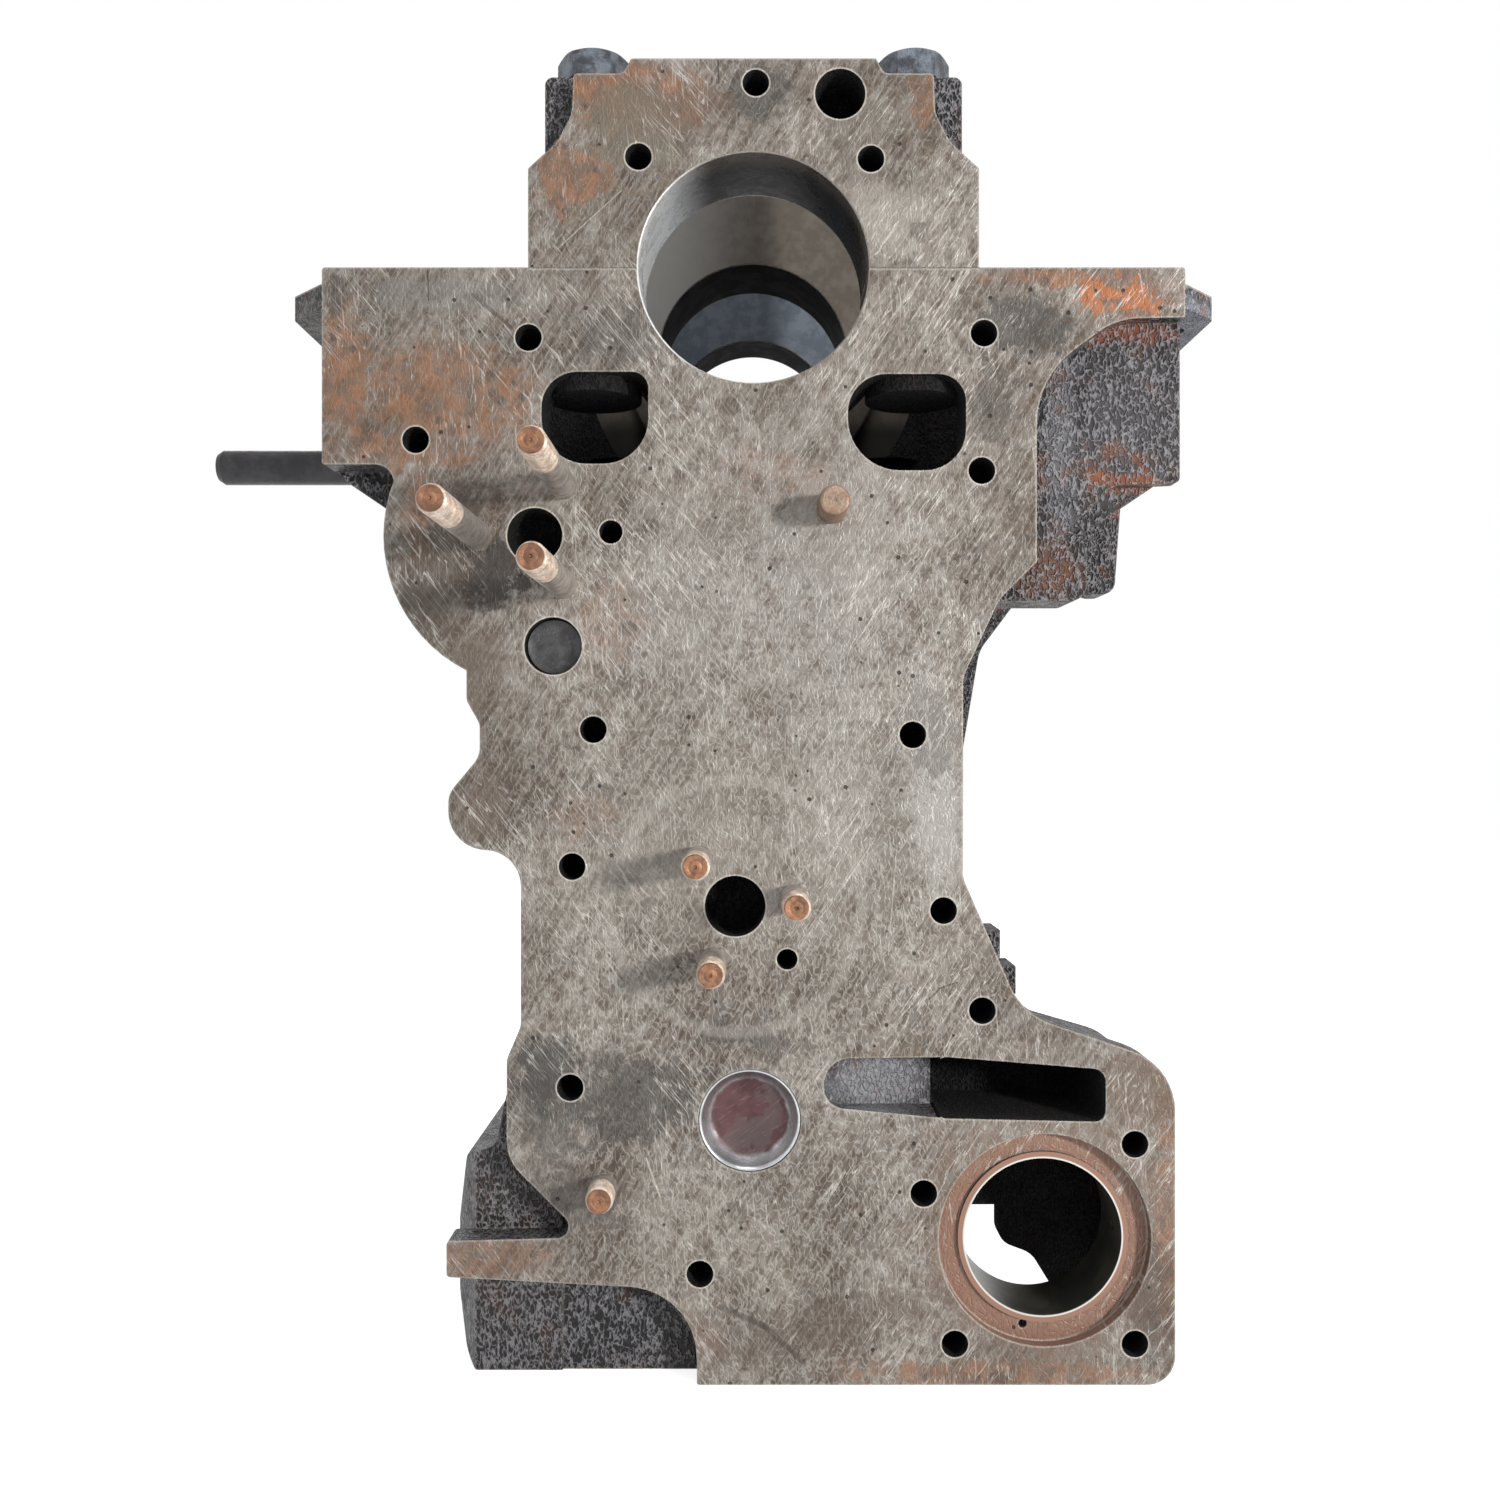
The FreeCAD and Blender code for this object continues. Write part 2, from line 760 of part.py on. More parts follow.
def cap_bolt_holes():
    found = []
    for i in range(web_count):
        for side in (-1, 1):
            base = V(side * cap_bolt_x, web_centre(i), 1)
            found.append(rod(cap_bolt_radius, base, -ALONG_Z, cap_bolt_depth + 1))
    return found


# ---- main bearing caps and their bolts ----
def cap_body(y0, y1):
    """A cap's square-shouldered body, from its seat to its raised crown."""
    corners = [
        (cap_body_half_width, -cap_seat_depth, 0),
        (cap_body_half_width, cap_shoulder_height, 3),
        (cap_crown_half_width, cap_shoulder_height, 0),
        (cap_crown_half_width - 2, cap_height, 1),
    ]
    return slab(mirrored(corners), y0, y1)


def finish_cap(cap, index):
    cuts = [rod(crank_bore_radius, V(0, -1, 0), ALONG_Y, block_length + 2)]
    for side in (-1, 1):
        base = V(side * cap_bolt_x, web_centre(index), -cap_seat_depth - 1)
        cuts.append(rod(cap_bolt_radius + cap_bolt_clearance, base, ALONG_Z, cap_shoulder_height + 2))
    return cap.cut(cuts)


def front_cap():
    """The front cap closes the front face: its plate carries the face's outline up to the crown."""
    crown = [
        (cap_half_width, -cap_seat_depth, 0),
        (cap_half_width, 36.0, 1.5),
        (71.5, 45.5, 14),
        (66.0, 56.0, 12),
        (65.5, 70.5, 1.5),
        (cap_crown_half_width + 3, 70.5, 3),
        (cap_crown_half_width, cap_height, 1),
    ]
    plate = slab(mirrored(crown), 0, cap_front_plate)
    cap = finish_cap(plate.fuse(cap_body(cap_front_plate, web_thickness)), 0)
    holes = [
        drilling(tapped_radius, 0.8, 67.1, tapped_depth),
        drilling(cap_oil_hole_radius, 31.5, 63.1, tapped_depth + 4),
        drilling(tapped_radius, -41.9, 40.3, tapped_depth),
        drilling(tapped_radius, 42.7, 39.5, tapped_depth),
    ]
    return cap.cut(holes).removeSplitter()


def plain_cap(index):
    return finish_cap(cap_body(*cap_spans()[index]), index).removeSplitter()


def rear_cap():
    cap = finish_cap(cap_body(*cap_spans()[-1]), web_count - 1)
    return cap.cut([seal_bore()] + seal_holes()).removeSplitter()


def cap_bolt(index, side):
    centre = V(side * cap_bolt_x, web_centre(index), 0)
    corner = cap_bolt_head_flats / 2 / cos(pi / 6)
    ring = [centre + V(corner * cos(pi * i / 3), corner * sin(pi * i / 3), cap_shoulder_height) for i in range(7)]
    head = Part.Face(Part.makePolygon(ring)).extrude(V(0, 0, cap_bolt_head_height))
    shank = rod(cap_bolt_radius, centre + V(0, 0, 2 - cap_bolt_depth), ALONG_Z, cap_shoulder_height + cap_bolt_depth - 2)
    return head.fuse(shank).removeSplitter()


# ---- small pieces on the front face ----
def stud_places():
    """Every stud of the front face, as (x, z, length that stands out)."""
    found = []
    for i in range(idler_stud_count):
        turn = radians(long_idler_stud_angle + i * 360 / idler_stud_count)
        x = long_idler_x + long_idler_stud_circle * cos(turn)
        z = long_idler_z + long_idler_stud_circle * sin(turn)
        found.append((x, z, long_idler_stud_length))
    for i in range(idler_stud_count):
        turn = radians(short_idler_stud_angle + i * 360 / idler_stud_count)
        x = short_idler_x + short_idler_stud_circle * cos(turn)
        z = short_idler_z + short_idler_stud_circle * sin(turn)
        found.append((x, z, short_idler_stud_length))
    found.append((cover_stud_x, cover_stud_z, cover_stud_length))
    return found


def stud(x, z, length):
    """A stud whose plain shank stands out of the face, and whose thinner end is screwed into the block."""
    shank = rod(stud_radius, V(x, -length, z), ALONG_Y, length)
    return shank.fuse(rod(tapped_radius, V(x, 0, z), ALONG_Y, stud_seat)).removeSplitter()


def core_plug(centre, axis_turn, radius):
    """A pressed steel cup, driven into its hole with the open side outwards."""
    floor = core_plug_depth - core_plug_wall
    profile = [
        (0, floor),
        (radius - core_plug_wall, floor),
        (radius - core_plug_wall, core_plug_recess),
        (radius, core_plug_recess),
        (radius, core_plug_depth),
        (0, core_plug_depth),
    ]
    cup = turned(profile, V(0, 0, 0), ALONG_Y)
    cup.rotate(V(0, 0, 0), ALONG_Z, axis_turn)
    cup.translate(centre)
    return cup


def side_rod():
    length = -side_rod_tip_x - skirt_half_width + side_rod_seat
    return rod(side_rod_radius, V(side_rod_tip_x, side_rod_y, side_rod_z), ALONG_X, length)


def pump_bush():
    outer = bush_bore_radius + bush_wall
    profile = [
        (bush_bore_radius, bush_front_y),
        (outer, bush_front_y),
        (outer, bush_back_y),
        (bush_bore_radius, bush_back_y),
    ]
    bush = turned(profile, V(pump_x, 0, pump_z), ALONG_Y)
    oil_slot = rod(bush_slot_radius, V(pump_x, bush_slot_y, pump_z), ALONG_X, outer + 1)
    return bush.cut(oil_slot)


def deck_dowel(y):
    profile = [
        (deck_dowel_bore, deck_z + deck_dowel_seat),
        (deck_dowel_radius, deck_z + deck_dowel_seat),
        (deck_dowel_radius, deck_z),
        (deck_dowel_bore, deck_z),
    ]
    return turned(profile, V(deck_dowel_x, y, 0), ALONG_Z)


def rear_dowel(side):
    base = V(side * rear_dowel_x, block_length - rear_dowel_length / 2, rear_dowel_z)
    return rod(rear_dowel_radius, base, ALONG_Y, rear_dowel_length)


def build():
    pieces = {"cylinder_block": casting()}
    pieces["front_main_cap"] = front_cap()
    for i in range(1, web_count - 1):
        pieces[f"main_cap_{i + 1}"] = plain_cap(i)
    pieces["rear_main_cap"] = rear_cap()
    for i in range(web_count):
        pieces[f"main_cap_bolt_{i + 1}_left"] = cap_bolt(i, -1)
        pieces[f"main_cap_bolt_{i + 1}_right"] = cap_bolt(i, 1)
    names = [f"long_idler_stud_{i + 1}" for i in range(idler_stud_count)]
    names += [f"short_idler_stud_{i + 1}" for i in range(idler_stud_count)]
    names.append("cover_stud")
    for name, (x, z, length) in zip(names, stud_places()):
        pieces[name] = stud(x, z, length)
    dowel_front = V(dowel_x, -dowel_length, dowel_z)
    pieces["timing_case_dowel"] = rod(dowel_radius, dowel_front, ALONG_Y, dowel_length + dowel_seat)
    plug_front = V(gallery_x, gallery_plug_recess, gallery_z)
    pieces["gallery_plug"] = rod(gallery_mouth_radius, plug_front, ALONG_Y, gallery_plug_thickness)
    pieces["front_core_plug"] = core_plug(V(core_plug_x, 0, core_plug_z), 0, core_plug_radius)
    for i in range(cylinder_count):
        seat = V(waist_half_width, cylinder_centre(i), side_plug_z)
        pieces[f"side_core_plug_{i + 1}"] = core_plug(seat, 90, side_plug_radius)
    pieces["pump_bush"] = pump_bush()
    pieces["side_rod"] = side_rod()
    for number, y in enumerate(deck_dowel_places()):
        pieces[f"deck_dowel_{number + 1}"] = deck_dowel(y)
    pieces["rear_dowel_left"] = rear_dowel(-1)
    pieces["rear_dowel_right"] = rear_dowel(1)
    return pieces


os.makedirs("parts", exist_ok=True)
for name, shape in build().items():
    shape.exportStep(f"parts/{name}.step")
    box = shape.BoundBox
    print(f"{name}: solids {len(shape.Solids)}, valid {shape.isValid()}, volume {shape.Volume / 1000:.1f} cm3,",
          f"x {box.XMin:.1f} {box.XMax:.1f} y {box.YMin:.1f} {box.YMax:.1f} z {box.ZMin:.1f} {box.ZMax:.1f}")
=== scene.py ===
"""The looks of a stripped, used cast-iron engine block that stands upside down on its head deck."""
import math

import bmesh
import bpy
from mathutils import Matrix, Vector


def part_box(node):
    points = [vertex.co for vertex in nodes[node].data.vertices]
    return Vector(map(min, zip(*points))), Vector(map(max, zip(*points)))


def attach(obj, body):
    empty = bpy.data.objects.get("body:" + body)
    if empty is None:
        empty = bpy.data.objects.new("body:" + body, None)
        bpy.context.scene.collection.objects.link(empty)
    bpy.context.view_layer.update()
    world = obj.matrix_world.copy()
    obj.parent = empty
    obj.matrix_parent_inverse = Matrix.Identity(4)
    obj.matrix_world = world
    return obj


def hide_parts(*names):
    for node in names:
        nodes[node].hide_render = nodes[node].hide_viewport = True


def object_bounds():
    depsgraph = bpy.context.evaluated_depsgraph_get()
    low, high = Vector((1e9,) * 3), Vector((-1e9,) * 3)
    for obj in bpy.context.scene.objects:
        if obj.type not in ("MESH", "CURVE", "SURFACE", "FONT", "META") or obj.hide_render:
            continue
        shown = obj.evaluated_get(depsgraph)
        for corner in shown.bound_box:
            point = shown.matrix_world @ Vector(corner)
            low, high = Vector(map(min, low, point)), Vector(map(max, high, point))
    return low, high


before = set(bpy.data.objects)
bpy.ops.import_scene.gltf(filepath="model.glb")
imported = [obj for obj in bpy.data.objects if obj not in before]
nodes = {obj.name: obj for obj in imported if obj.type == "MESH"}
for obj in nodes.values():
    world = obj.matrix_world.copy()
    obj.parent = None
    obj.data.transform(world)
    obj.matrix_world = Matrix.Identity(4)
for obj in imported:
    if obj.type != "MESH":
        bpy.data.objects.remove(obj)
cad_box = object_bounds()
scene = bpy.context.scene


# ---- Studio: white sweep, soft lamps and camera ----
# The block stands on a white floor. A small strong lamp, level with the crank on the right, throws the
# studs' shadows to the left, and weak wide ones fill from above, the left and behind. The camera looks
# level and square at the timing end from half a metre away.
scene.view_settings.view_transform = "Standard"
floor_z = cad_box[0][2]
rear_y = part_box("cylinder_block")[1][1]
camera_distance = 0.5
view_width = 0.54545
sensor = 36.0

camera_data = bpy.data.cameras.new("camera")
camera_data.sensor_width = sensor
camera_data.lens = sensor * camera_distance / view_width
camera_data.clip_start = 0.01
camera = bpy.data.objects.new("camera", camera_data)
camera.location = (-0.0013, -camera_distance, -0.1755)
camera.rotation_euler = (math.pi / 2, 0, 0)
scene.collection.objects.link(camera)
scene.camera = camera


def soft_lamp(name, place, target, size, watts, colour):
    """A round lamp that faces target."""
    data = bpy.data.lights.new(name, "AREA")
    data.shape = "DISK"
    data.size = size
    data.energy = watts
    data.color = colour
    lamp = bpy.data.objects.new(name, data)
    lamp.location = place
    lamp.rotation_euler = (Vector(target) - Vector(place)).to_track_quat("-Z", "Y").to_euler()
    scene.collection.objects.link(lamp)


block_middle = (0.0, 0.1, -0.17)
soft_lamp("key_lamp", (1.15, -1.2, 0.02), block_middle, 0.22, 24, (1.0, 0.985, 0.96))
soft_lamp("top_lamp", (0.2, -0.5, 1.5), block_middle, 0.9, 8, (1.0, 1.0, 1.0))
soft_lamp("fill_lamp", (-1.4, -0.9, 0.3), block_middle, 1.0, 3, (0.93, 0.97, 1.0))
soft_lamp("back_lamp", (-0.4, 1.6, 0.7), block_middle, 1.0, 12, (1.0, 1.0, 1.0))


def add_node(tree, kind, settings=None, feeds=None):
    """A shader node with its settings, and with its inputs set to values or fed from sockets."""
    made = tree.nodes.new("ShaderNode" + kind)
    for name, value in (settings or {}).items():
        setattr(made, name, value)
    for name, value in (feeds or {}).items():
        if isinstance(value, bpy.types.NodeSocket):
            tree.links.new(value, made.inputs[name])
        else:
            made.inputs[name].default_value = value
    return made


def arith(tree, operation, a, b=0.0, clamp=False):
    """The result of one Math node."""
    return add_node(tree, "Math", {"operation": operation, "use_clamp": clamp}, {0: a, 1: b}).outputs[0]


def times(tree, first, *others):
    """The product of all the values."""
    for other in others:
        first = arith(tree, "MULTIPLY", first, other)
    return first


def seen_directly(tree):
    """1 where the camera, a mirror or clear glass looks, and 0 for light that falls on things."""
    rays = add_node(tree, "LightPath")
    seen = arith(tree, "ADD", rays.outputs["Is Camera Ray"], rays.outputs["Is Glossy Ray"])
    return arith(tree, "ADD", seen, rays.outputs["Is Transmission Ray"], True)


world = bpy.data.worlds.new("studio")
world.use_nodes = True
scene.world = world
sky = world.node_tree
sky.nodes.clear()
ambient = add_node(sky, "Background", feeds={"Color": (0.95, 0.975, 1.0, 1.0), "Strength": 0.3})
backdrop = add_node(sky, "Background", feeds={"Color": (1.0, 1.0, 1.0, 1.0), "Strength": 1.0})
sides = {0: seen_directly(sky), 1: ambient.outputs[0], 2: backdrop.outputs[0]}
either = add_node(sky, "MixShader", feeds=sides)
add_node(sky, "OutputWorld", feeds={"Surface": either.outputs[0]})

floor_half = 3.0
floor_mesh = bpy.data.meshes.new("floor")
floor_form = bmesh.new()
bmesh.ops.create_grid(floor_form, x_segments=2, y_segments=2, size=floor_half)
floor_form.to_mesh(floor_mesh)
floor_form.free()
floor = bpy.data.objects.new("floor", floor_mesh)
floor.location = (0, 0, floor_z)
scene.collection.objects.link(floor)
floor_paint = bpy.data.materials.new("white_floor")
floor_paint.use_nodes = True
paper = floor_paint.node_tree
paper.nodes.clear()
matt = add_node(paper, "BsdfDiffuse", feeds={"Color": (0.8, 0.8, 0.8, 1.0)})
whiteness = times(paper, seen_directly(paper), 0.8)
glow = add_node(paper, "Emission", feeds={"Color": (1.0, 1.0, 1.0, 1.0), "Strength": whiteness})
both = add_node(paper, "AddShader", feeds={0: matt.outputs[0], 1: glow.outputs[0]})
add_node(paper, "OutputMaterial", feeds={"Surface": both.outputs[0]})
floor_mesh.materials.append(floor_paint)


# ---- Cylinder block ----
# One grey-iron casting. Its front, deck, rails and bores are machined and have gone brown-grey with rust,
# oil and handling. All the other walls keep the dark wrinkled skin of the sand mould.
def srgb(red, green, blue):
    """A colour from 0 to 255 screen values."""
    channels = []
    for value in (red, green, blue):
        share = value / 255
        channels.append(share / 12.92 if share <= 0.04045 else ((share + 0.055) / 1.055) ** 2.4)
    return (*channels, 1.0)


def new_group(name, inputs, outputs):
    """An empty shader node group. inputs are (name, kind, default) and outputs are (name, kind)."""
    group = bpy.data.node_groups.new(name, "ShaderNodeTree")
    for label, kind, default in inputs:
        socket = group.interface.new_socket(name=label, in_out="INPUT", socket_type="NodeSocket" + kind)
        if default is not None:
            socket.default_value = default
    for label, kind in outputs:
        group.interface.new_socket(name=label, in_out="OUTPUT", socket_type="NodeSocket" + kind)
    return group, group.nodes.new("NodeGroupInput").outputs, group.nodes.new("NodeGroupOutput").inputs


def use_group(tree, group, feeds):
    """The outputs of a node group that is placed in tree, with values or sockets for its inputs."""
    made = tree.nodes.new("ShaderNodeGroup")
    made.node_tree = group
    for name, value in feeds.items():
        if isinstance(value, bpy.types.NodeSocket):
            tree.links.new(value, made.inputs[name])
        else:
            made.inputs[name].default_value = value
    return made.outputs


def blend(tree, share, first, second):
    """The colour between two colours."""
    mixed = add_node(tree, "Mix", {"data_type": "RGBA"})
    for socket, value in ((mixed.inputs[0], share), (mixed.inputs[6], first), (mixed.inputs[7], second)):
        if isinstance(value, bpy.types.NodeSocket):
            tree.links.new(value, socket)
        else:
            socket.default_value = value
    return mixed.outputs[2]


def remap(tree, value, low, high, to_low=0.0, to_high=1.0):
    """A value eased from low..high to a new range, and held inside it."""
    feeds = {"Value": value, "From Min": low, "From Max": high, "To Min": to_low, "To Max": to_high}
    return add_node(tree, "MapRange", {"interpolation_type": "SMOOTHSTEP"}, feeds).outputs[0]


def vector_math(tree, operation, a, b):
    """The outputs of one Vector Math node."""
    return add_node(tree, "VectorMath", {"operation": operation}, {0: a, 1: b}).outputs


# Cloudy mask for uneven rust, oil and tarnish.
blotches, given, result = new_group(
    "blotches",
    [("Vector", "Vector", None), ("Scale", "Float", 50.0), ("Low", "Float", 0.4), ("High", "Float", 0.6)],
    [("Mask", "Float")],
)
cloud_feeds = {"Vector": given["Vector"], "Scale": given["Scale"], "Detail": 4.0, "Roughness": 0.62}
clouds = add_node(blotches, "TexNoise", feeds=cloud_feeds)
blotches.links.new(remap(blotches, clouds.outputs[0], given["Low"], given["High"]), result["Mask"])

# One stain at a chosen place: an ellipse whose edge is frayed by Rag, a noise that all the stains share.
stain, given, result = new_group(
    "stain",
    [
        ("Vector", "Vector", None),
        ("Rag", "Float", 0.0),
        ("Centre", "Vector", (0, 0, 0)),
        ("Reach", "Vector", (0.02, 1.0, 0.02)),
        ("Turn", "Float", 0.0),
        ("Ragged", "Float", 0.6),
        ("Soft", "Float", 0.4),
    ],
    [("Mask", "Float")],
)
shift = vector_math(stain, "SUBTRACT", given["Vector"], given["Centre"])[0]
turned = {"Vector": shift, "Angle": given["Turn"]}
swung = add_node(stain, "VectorRotate", {"rotation_type": "Y_AXIS"}, turned)
shrunk = vector_math(stain, "DIVIDE", swung.outputs[0], given["Reach"])[0]
distance = vector_math(stain, "LENGTH", shrunk, (0, 0, 0))["Value"]
edge = arith(stain, "ADD", distance, times(stain, given["Rag"], given["Ragged"]))
stain.links.new(remap(stain, edge, 1.0, arith(stain, "SUBTRACT", 1.0, given["Soft"])), result["Mask"])

# One stroke: a thin straight mark between two places.
stroke, given, result = new_group(
    "stroke",
    [
        ("Vector", "Vector", None),
        ("Start", "Vector", (0, 0, 0)),
        ("Run", "Vector", (0.01, 0, 0)),
        ("Width", "Float", 0.0004),
    ],
    [("Mask", "Float")],
)
shift = vector_math(stroke, "SUBTRACT", given["Vector"], given["Start"])[0]
along = vector_math(stroke, "DOT_PRODUCT", shift, given["Run"])["Value"]
whole = vector_math(stroke, "DOT_PRODUCT", given["Run"], given["Run"])["Value"]
share = arith(stroke, "DIVIDE", along, whole, True)
foot = add_node(stroke, "VectorMath", {"operation": "SCALE"}, {0: given["Run"], "Scale": share}).outputs[0]
away = vector_math(stroke, "DISTANCE", shift, foot)["Value"]
stroke.links.new(remap(stroke, away, given["Width"], times(stroke, given["Width"], 0.4)), result["Mask"])

# Fine scratches that run one way across a machined face.
scratches, given, result = new_group(
    "scratches",
    [
        ("Vector", "Vector", None),
        ("Turn", "Float", 0.0),
        ("Scale", "Float", 900.0),
        ("Width", "Float", 0.03),
    ],
    [("Mask", "Float")],
)
turned = {"Vector": given["Vector"], "Angle": given["Turn"]}
swung = add_node(scratches, "VectorRotate", {"rotation_type": "Y_AXIS"}, turned)
drawn = vector_math(scratches, "MULTIPLY", swung.outputs[0], (0.07, 0.0, 1.0))[0]
line_feeds = {
    "Vector": drawn,
    "Scale": given["Scale"],
    "Detail": 2.0,
    "Roughness": 0.55,
    "Distortion": 0.12,
}
lines = add_node(scratches, "TexNoise", feeds=line_feeds)
near = arith(scratches, "ABSOLUTE", arith(scratches, "SUBTRACT", lines.outputs[0], 0.5))
scratches.links.new(remap(scratches, near, given["Width"], 0.0), result["Mask"])

# Drops and pores: round spots on a jittered grid, of which a share is kept.
spots, given, result = new_group(
    "spots",
    [
        ("Vector", "Vector", None),
        ("Scale", "Float", 260.0),
        ("Size", "Float", 0.2),
        ("Soft", "Float", 0.1),
        ("Kept", "Float", 0.2),
    ],
    [("Mask", "Float")],
)
cell_feeds = {"Vector": given["Vector"], "Scale": given["Scale"]}
cells = add_node(spots, "TexVoronoi", {"feature": "F1"}, cell_feeds)
pick = add_node(spots, "SeparateColor", feeds={0: cells.outputs["Color"]})
kept = arith(spots, "LESS_THAN", pick.outputs[0], given["Kept"])
growth = arith(spots, "ADD", times(spots, pick.outputs[1], 0.7), 0.3)
size = times(spots, given["Size"], growth)
dot = remap(spots, cells.outputs["Distance"], size, arith(spots, "SUBTRACT", size, given["Soft"]))
spots.links.new(times(spots, dot, kept), result["Mask"])

# The skin that a sand mould leaves: short wormy ridges over coarser lumps.
sand_skin, given, result = new_group(
    "sand_skin",
    [("Vector", "Vector", None), ("Scale", "Float", 420.0), ("Width", "Float", 0.07)],
    [("Height", "Float"), ("Ridges", "Float")],
)
long_way = vector_math(sand_skin, "MULTIPLY", given["Vector"], (1.2, 1.0, 0.7))[0]
worm_feeds = {
    "Vector": long_way,
    "Scale": given["Scale"],
    "Detail": 1.0,
    "Roughness": 0.5,
    "Distortion": 0.35,
}
worms = add_node(sand_skin, "TexNoise", feeds=worm_feeds)
folded = arith(sand_skin, "ABSOLUTE", arith(sand_skin, "SUBTRACT", worms.outputs[0], 0.5))
ridges = remap(sand_skin, folded, given["Width"], 0.0)
lump_scale = times(sand_skin, given["Scale"], 0.14)
lump_feeds = {"Vector": given["Vector"], "Scale": lump_scale, "Detail": 2.0}
lumps = times(sand_skin, add_node(sand_skin, "TexNoise", feeds=lump_feeds).outputs[0], 3.0)
sand_skin.links.new(arith(sand_skin, "ADD", ridges, lumps), result["Height"])
sand_skin.links.new(ridges, result["Ridges"])


def cloud(tree, place, scale, low, high):
    """The mask of the blotches group."""
    feeds = {"Vector": place, "Scale": scale, "Low": low, "High": high}
    return use_group(tree, blotches, feeds)["Mask"]


def dots(tree, place, scale, size, soft, kept):
    """The mask of the spots group."""
    feeds = {"Vector": place, "Scale": scale, "Size": size, "Soft": soft, "Kept": kept}
    return use_group(tree, spots, feeds)["Mask"]


def ruled(tree, place, degrees, scale, width):
    """The mask of the scratches group. Scratches at 0 degrees run level."""
    feeds = {"Vector": place, "Turn": math.radians(degrees), "Scale": scale, "Width": width}
    return use_group(tree, scratches, feeds)["Mask"]


def new_material(name):
    """An empty material, its node tree, and the place of each point as a socket."""
    made = bpy.data.materials.new(name)
    made.use_nodes = True
    tree = made.node_tree
    tree.nodes.clear()
    return made, tree, add_node(tree, "TexCoord").outputs["Object"]


def surface(tree, feeds):
    """Ends a material with one Principled shader."""
    shader = add_node(tree, "BsdfPrincipled", feeds=feeds)
    add_node(tree, "OutputMaterial", feeds={"Surface": shader.outputs[0]})


def relief(tree, height, normal=None):
    """The normal that a height in metres gives."""
    feeds = {"Strength": 1.0, "Distance": 1.0, "Height": height}
    if normal is not None:
        feeds["Normal"] = normal
    return add_node(tree, "Bump", feeds=feeds).outputs[0]


def distance_from(tree, place, centre):
    """How far a point lies from a line along Y through centre, given in millimetres as (x, z)."""
    flat = vector_math(tree, "MULTIPLY", place, (1.0, 0.0, 1.0))[0]
    return vector_math(tree, "DISTANCE", flat, (centre[0] / 1000, 0.0, centre[1] / 1000))["Value"]


def any_of(tree, masks):
    total = masks[0]
    for mask in masks[1:]:
        total = arith(tree, "MAXIMUM", total, mask)
    return total


def stain_mask(tree, place, rag, x, z, wide, high, turn, ragged, soft):
    """One stain's mask. Places and sizes are in millimetres, and turn is in degrees."""
    feeds = {
        "Vector": place,
        "Rag": rag,
        "Centre": (x / 1000, 0, z / 1000),
        "Reach": (wide / 1000, 1.0, high / 1000),
        "Turn": math.radians(turn),
        "Ragged": ragged,
        "Soft": soft,
    }
    return use_group(tree, stain, feeds)["Mask"]


second_wall_y = 0.1
third_wall_y = 0.2


def bore_painted_light(tree, axis):
    """The crank bore's wall, all painted light: a painted reflection on its left, painted shade on top and
    right, lighter near the front, and painted black shade with depth.
    """
    # which side carries the painted reflection, how near the front it is, and where the painted black shade
    # of depth begins
    left = remap(tree, axis["X"], -0.014, -0.036)
    near = remap(tree, axis["Y"], 0.016, 0.0)
    far = arith(tree, "GREATER_THAN", axis["Y"], second_wall_y)
    # painted shade on top and right, painted reflection on the left, and painted black shade deep in the
    # bore
    dull = blend(tree, near, srgb(22, 19, 17), srgb(98, 91, 84))
    painted_reflection = blend(tree, near, srgb(236, 237, 238), srgb(255, 255, 255))
    return blend(tree, far, blend(tree, left, dull, painted_reflection), srgb(4, 4, 4))


def web_tone_and_painted_light(tree, axis, cloudy):
    """The faced walls round the crank bore: brown-grey on the second wall with a painted highlight on its
    left, blue-grey on the third, and painted shade below the bore."""
    third = arith(tree, "GREATER_THAN", axis["Y"], third_wall_y)
    # painted highlight on the left of the second wall
    left = times(tree, remap(tree, axis["X"], 0.006, -0.056), remap(tree, axis["Z"], -0.02, -0.008))
    second_wall = blend(tree, cloudy, srgb(96, 89, 81), srgb(110, 103, 95))
    second_wall = blend(tree, left, second_wall, srgb(186, 183, 178))
    third_wall = blend(tree, cloudy, srgb(94, 101, 111), srgb(112, 119, 128))
    # painted shade below the bore, on the walls seen through the windows
    below = remap(tree, axis["Z"], -0.024, -0.034)
    return blend(tree, below, blend(tree, third, second_wall, third_wall), srgb(50, 48, 45))


def nearest_edge(tree, place, holes):
    """How far a point lies outside the nearest drilled hole, given as (x, z, radius) in millimetres."""
    flat = vector_math(tree, "MULTIPLY", place, (1.0, 0.0, 1.0))[0]
    gap = None
    for x, z, radius in holes:
        away = vector_math(tree, "DISTANCE", flat, (x / 1000, 0.0, z / 1000))["Value"]
        away = arith(tree, "SUBTRACT", away, radius / 1000)
        gap = away if gap is None else arith(tree, "MINIMUM", gap, away)
    return gap


def within(tree, value, low, high):
    """1 where a value lies between two limits."""
    return times(tree, arith(tree, "GREATER_THAN", value, low), arith(tree, "LESS_THAN", value, high))


# Each family of cutter lines: turn in degrees, scale, width, strength, and where along X they fade in.
cutter_lines = (
    (56, 380, 0.018, 0.6, -0.01, 0.03),
    (-52, 380, 0.018, 0.6, 0.02, -0.03),
    (94, 420, 0.014, 0.5, -1.0, -0.9),
)


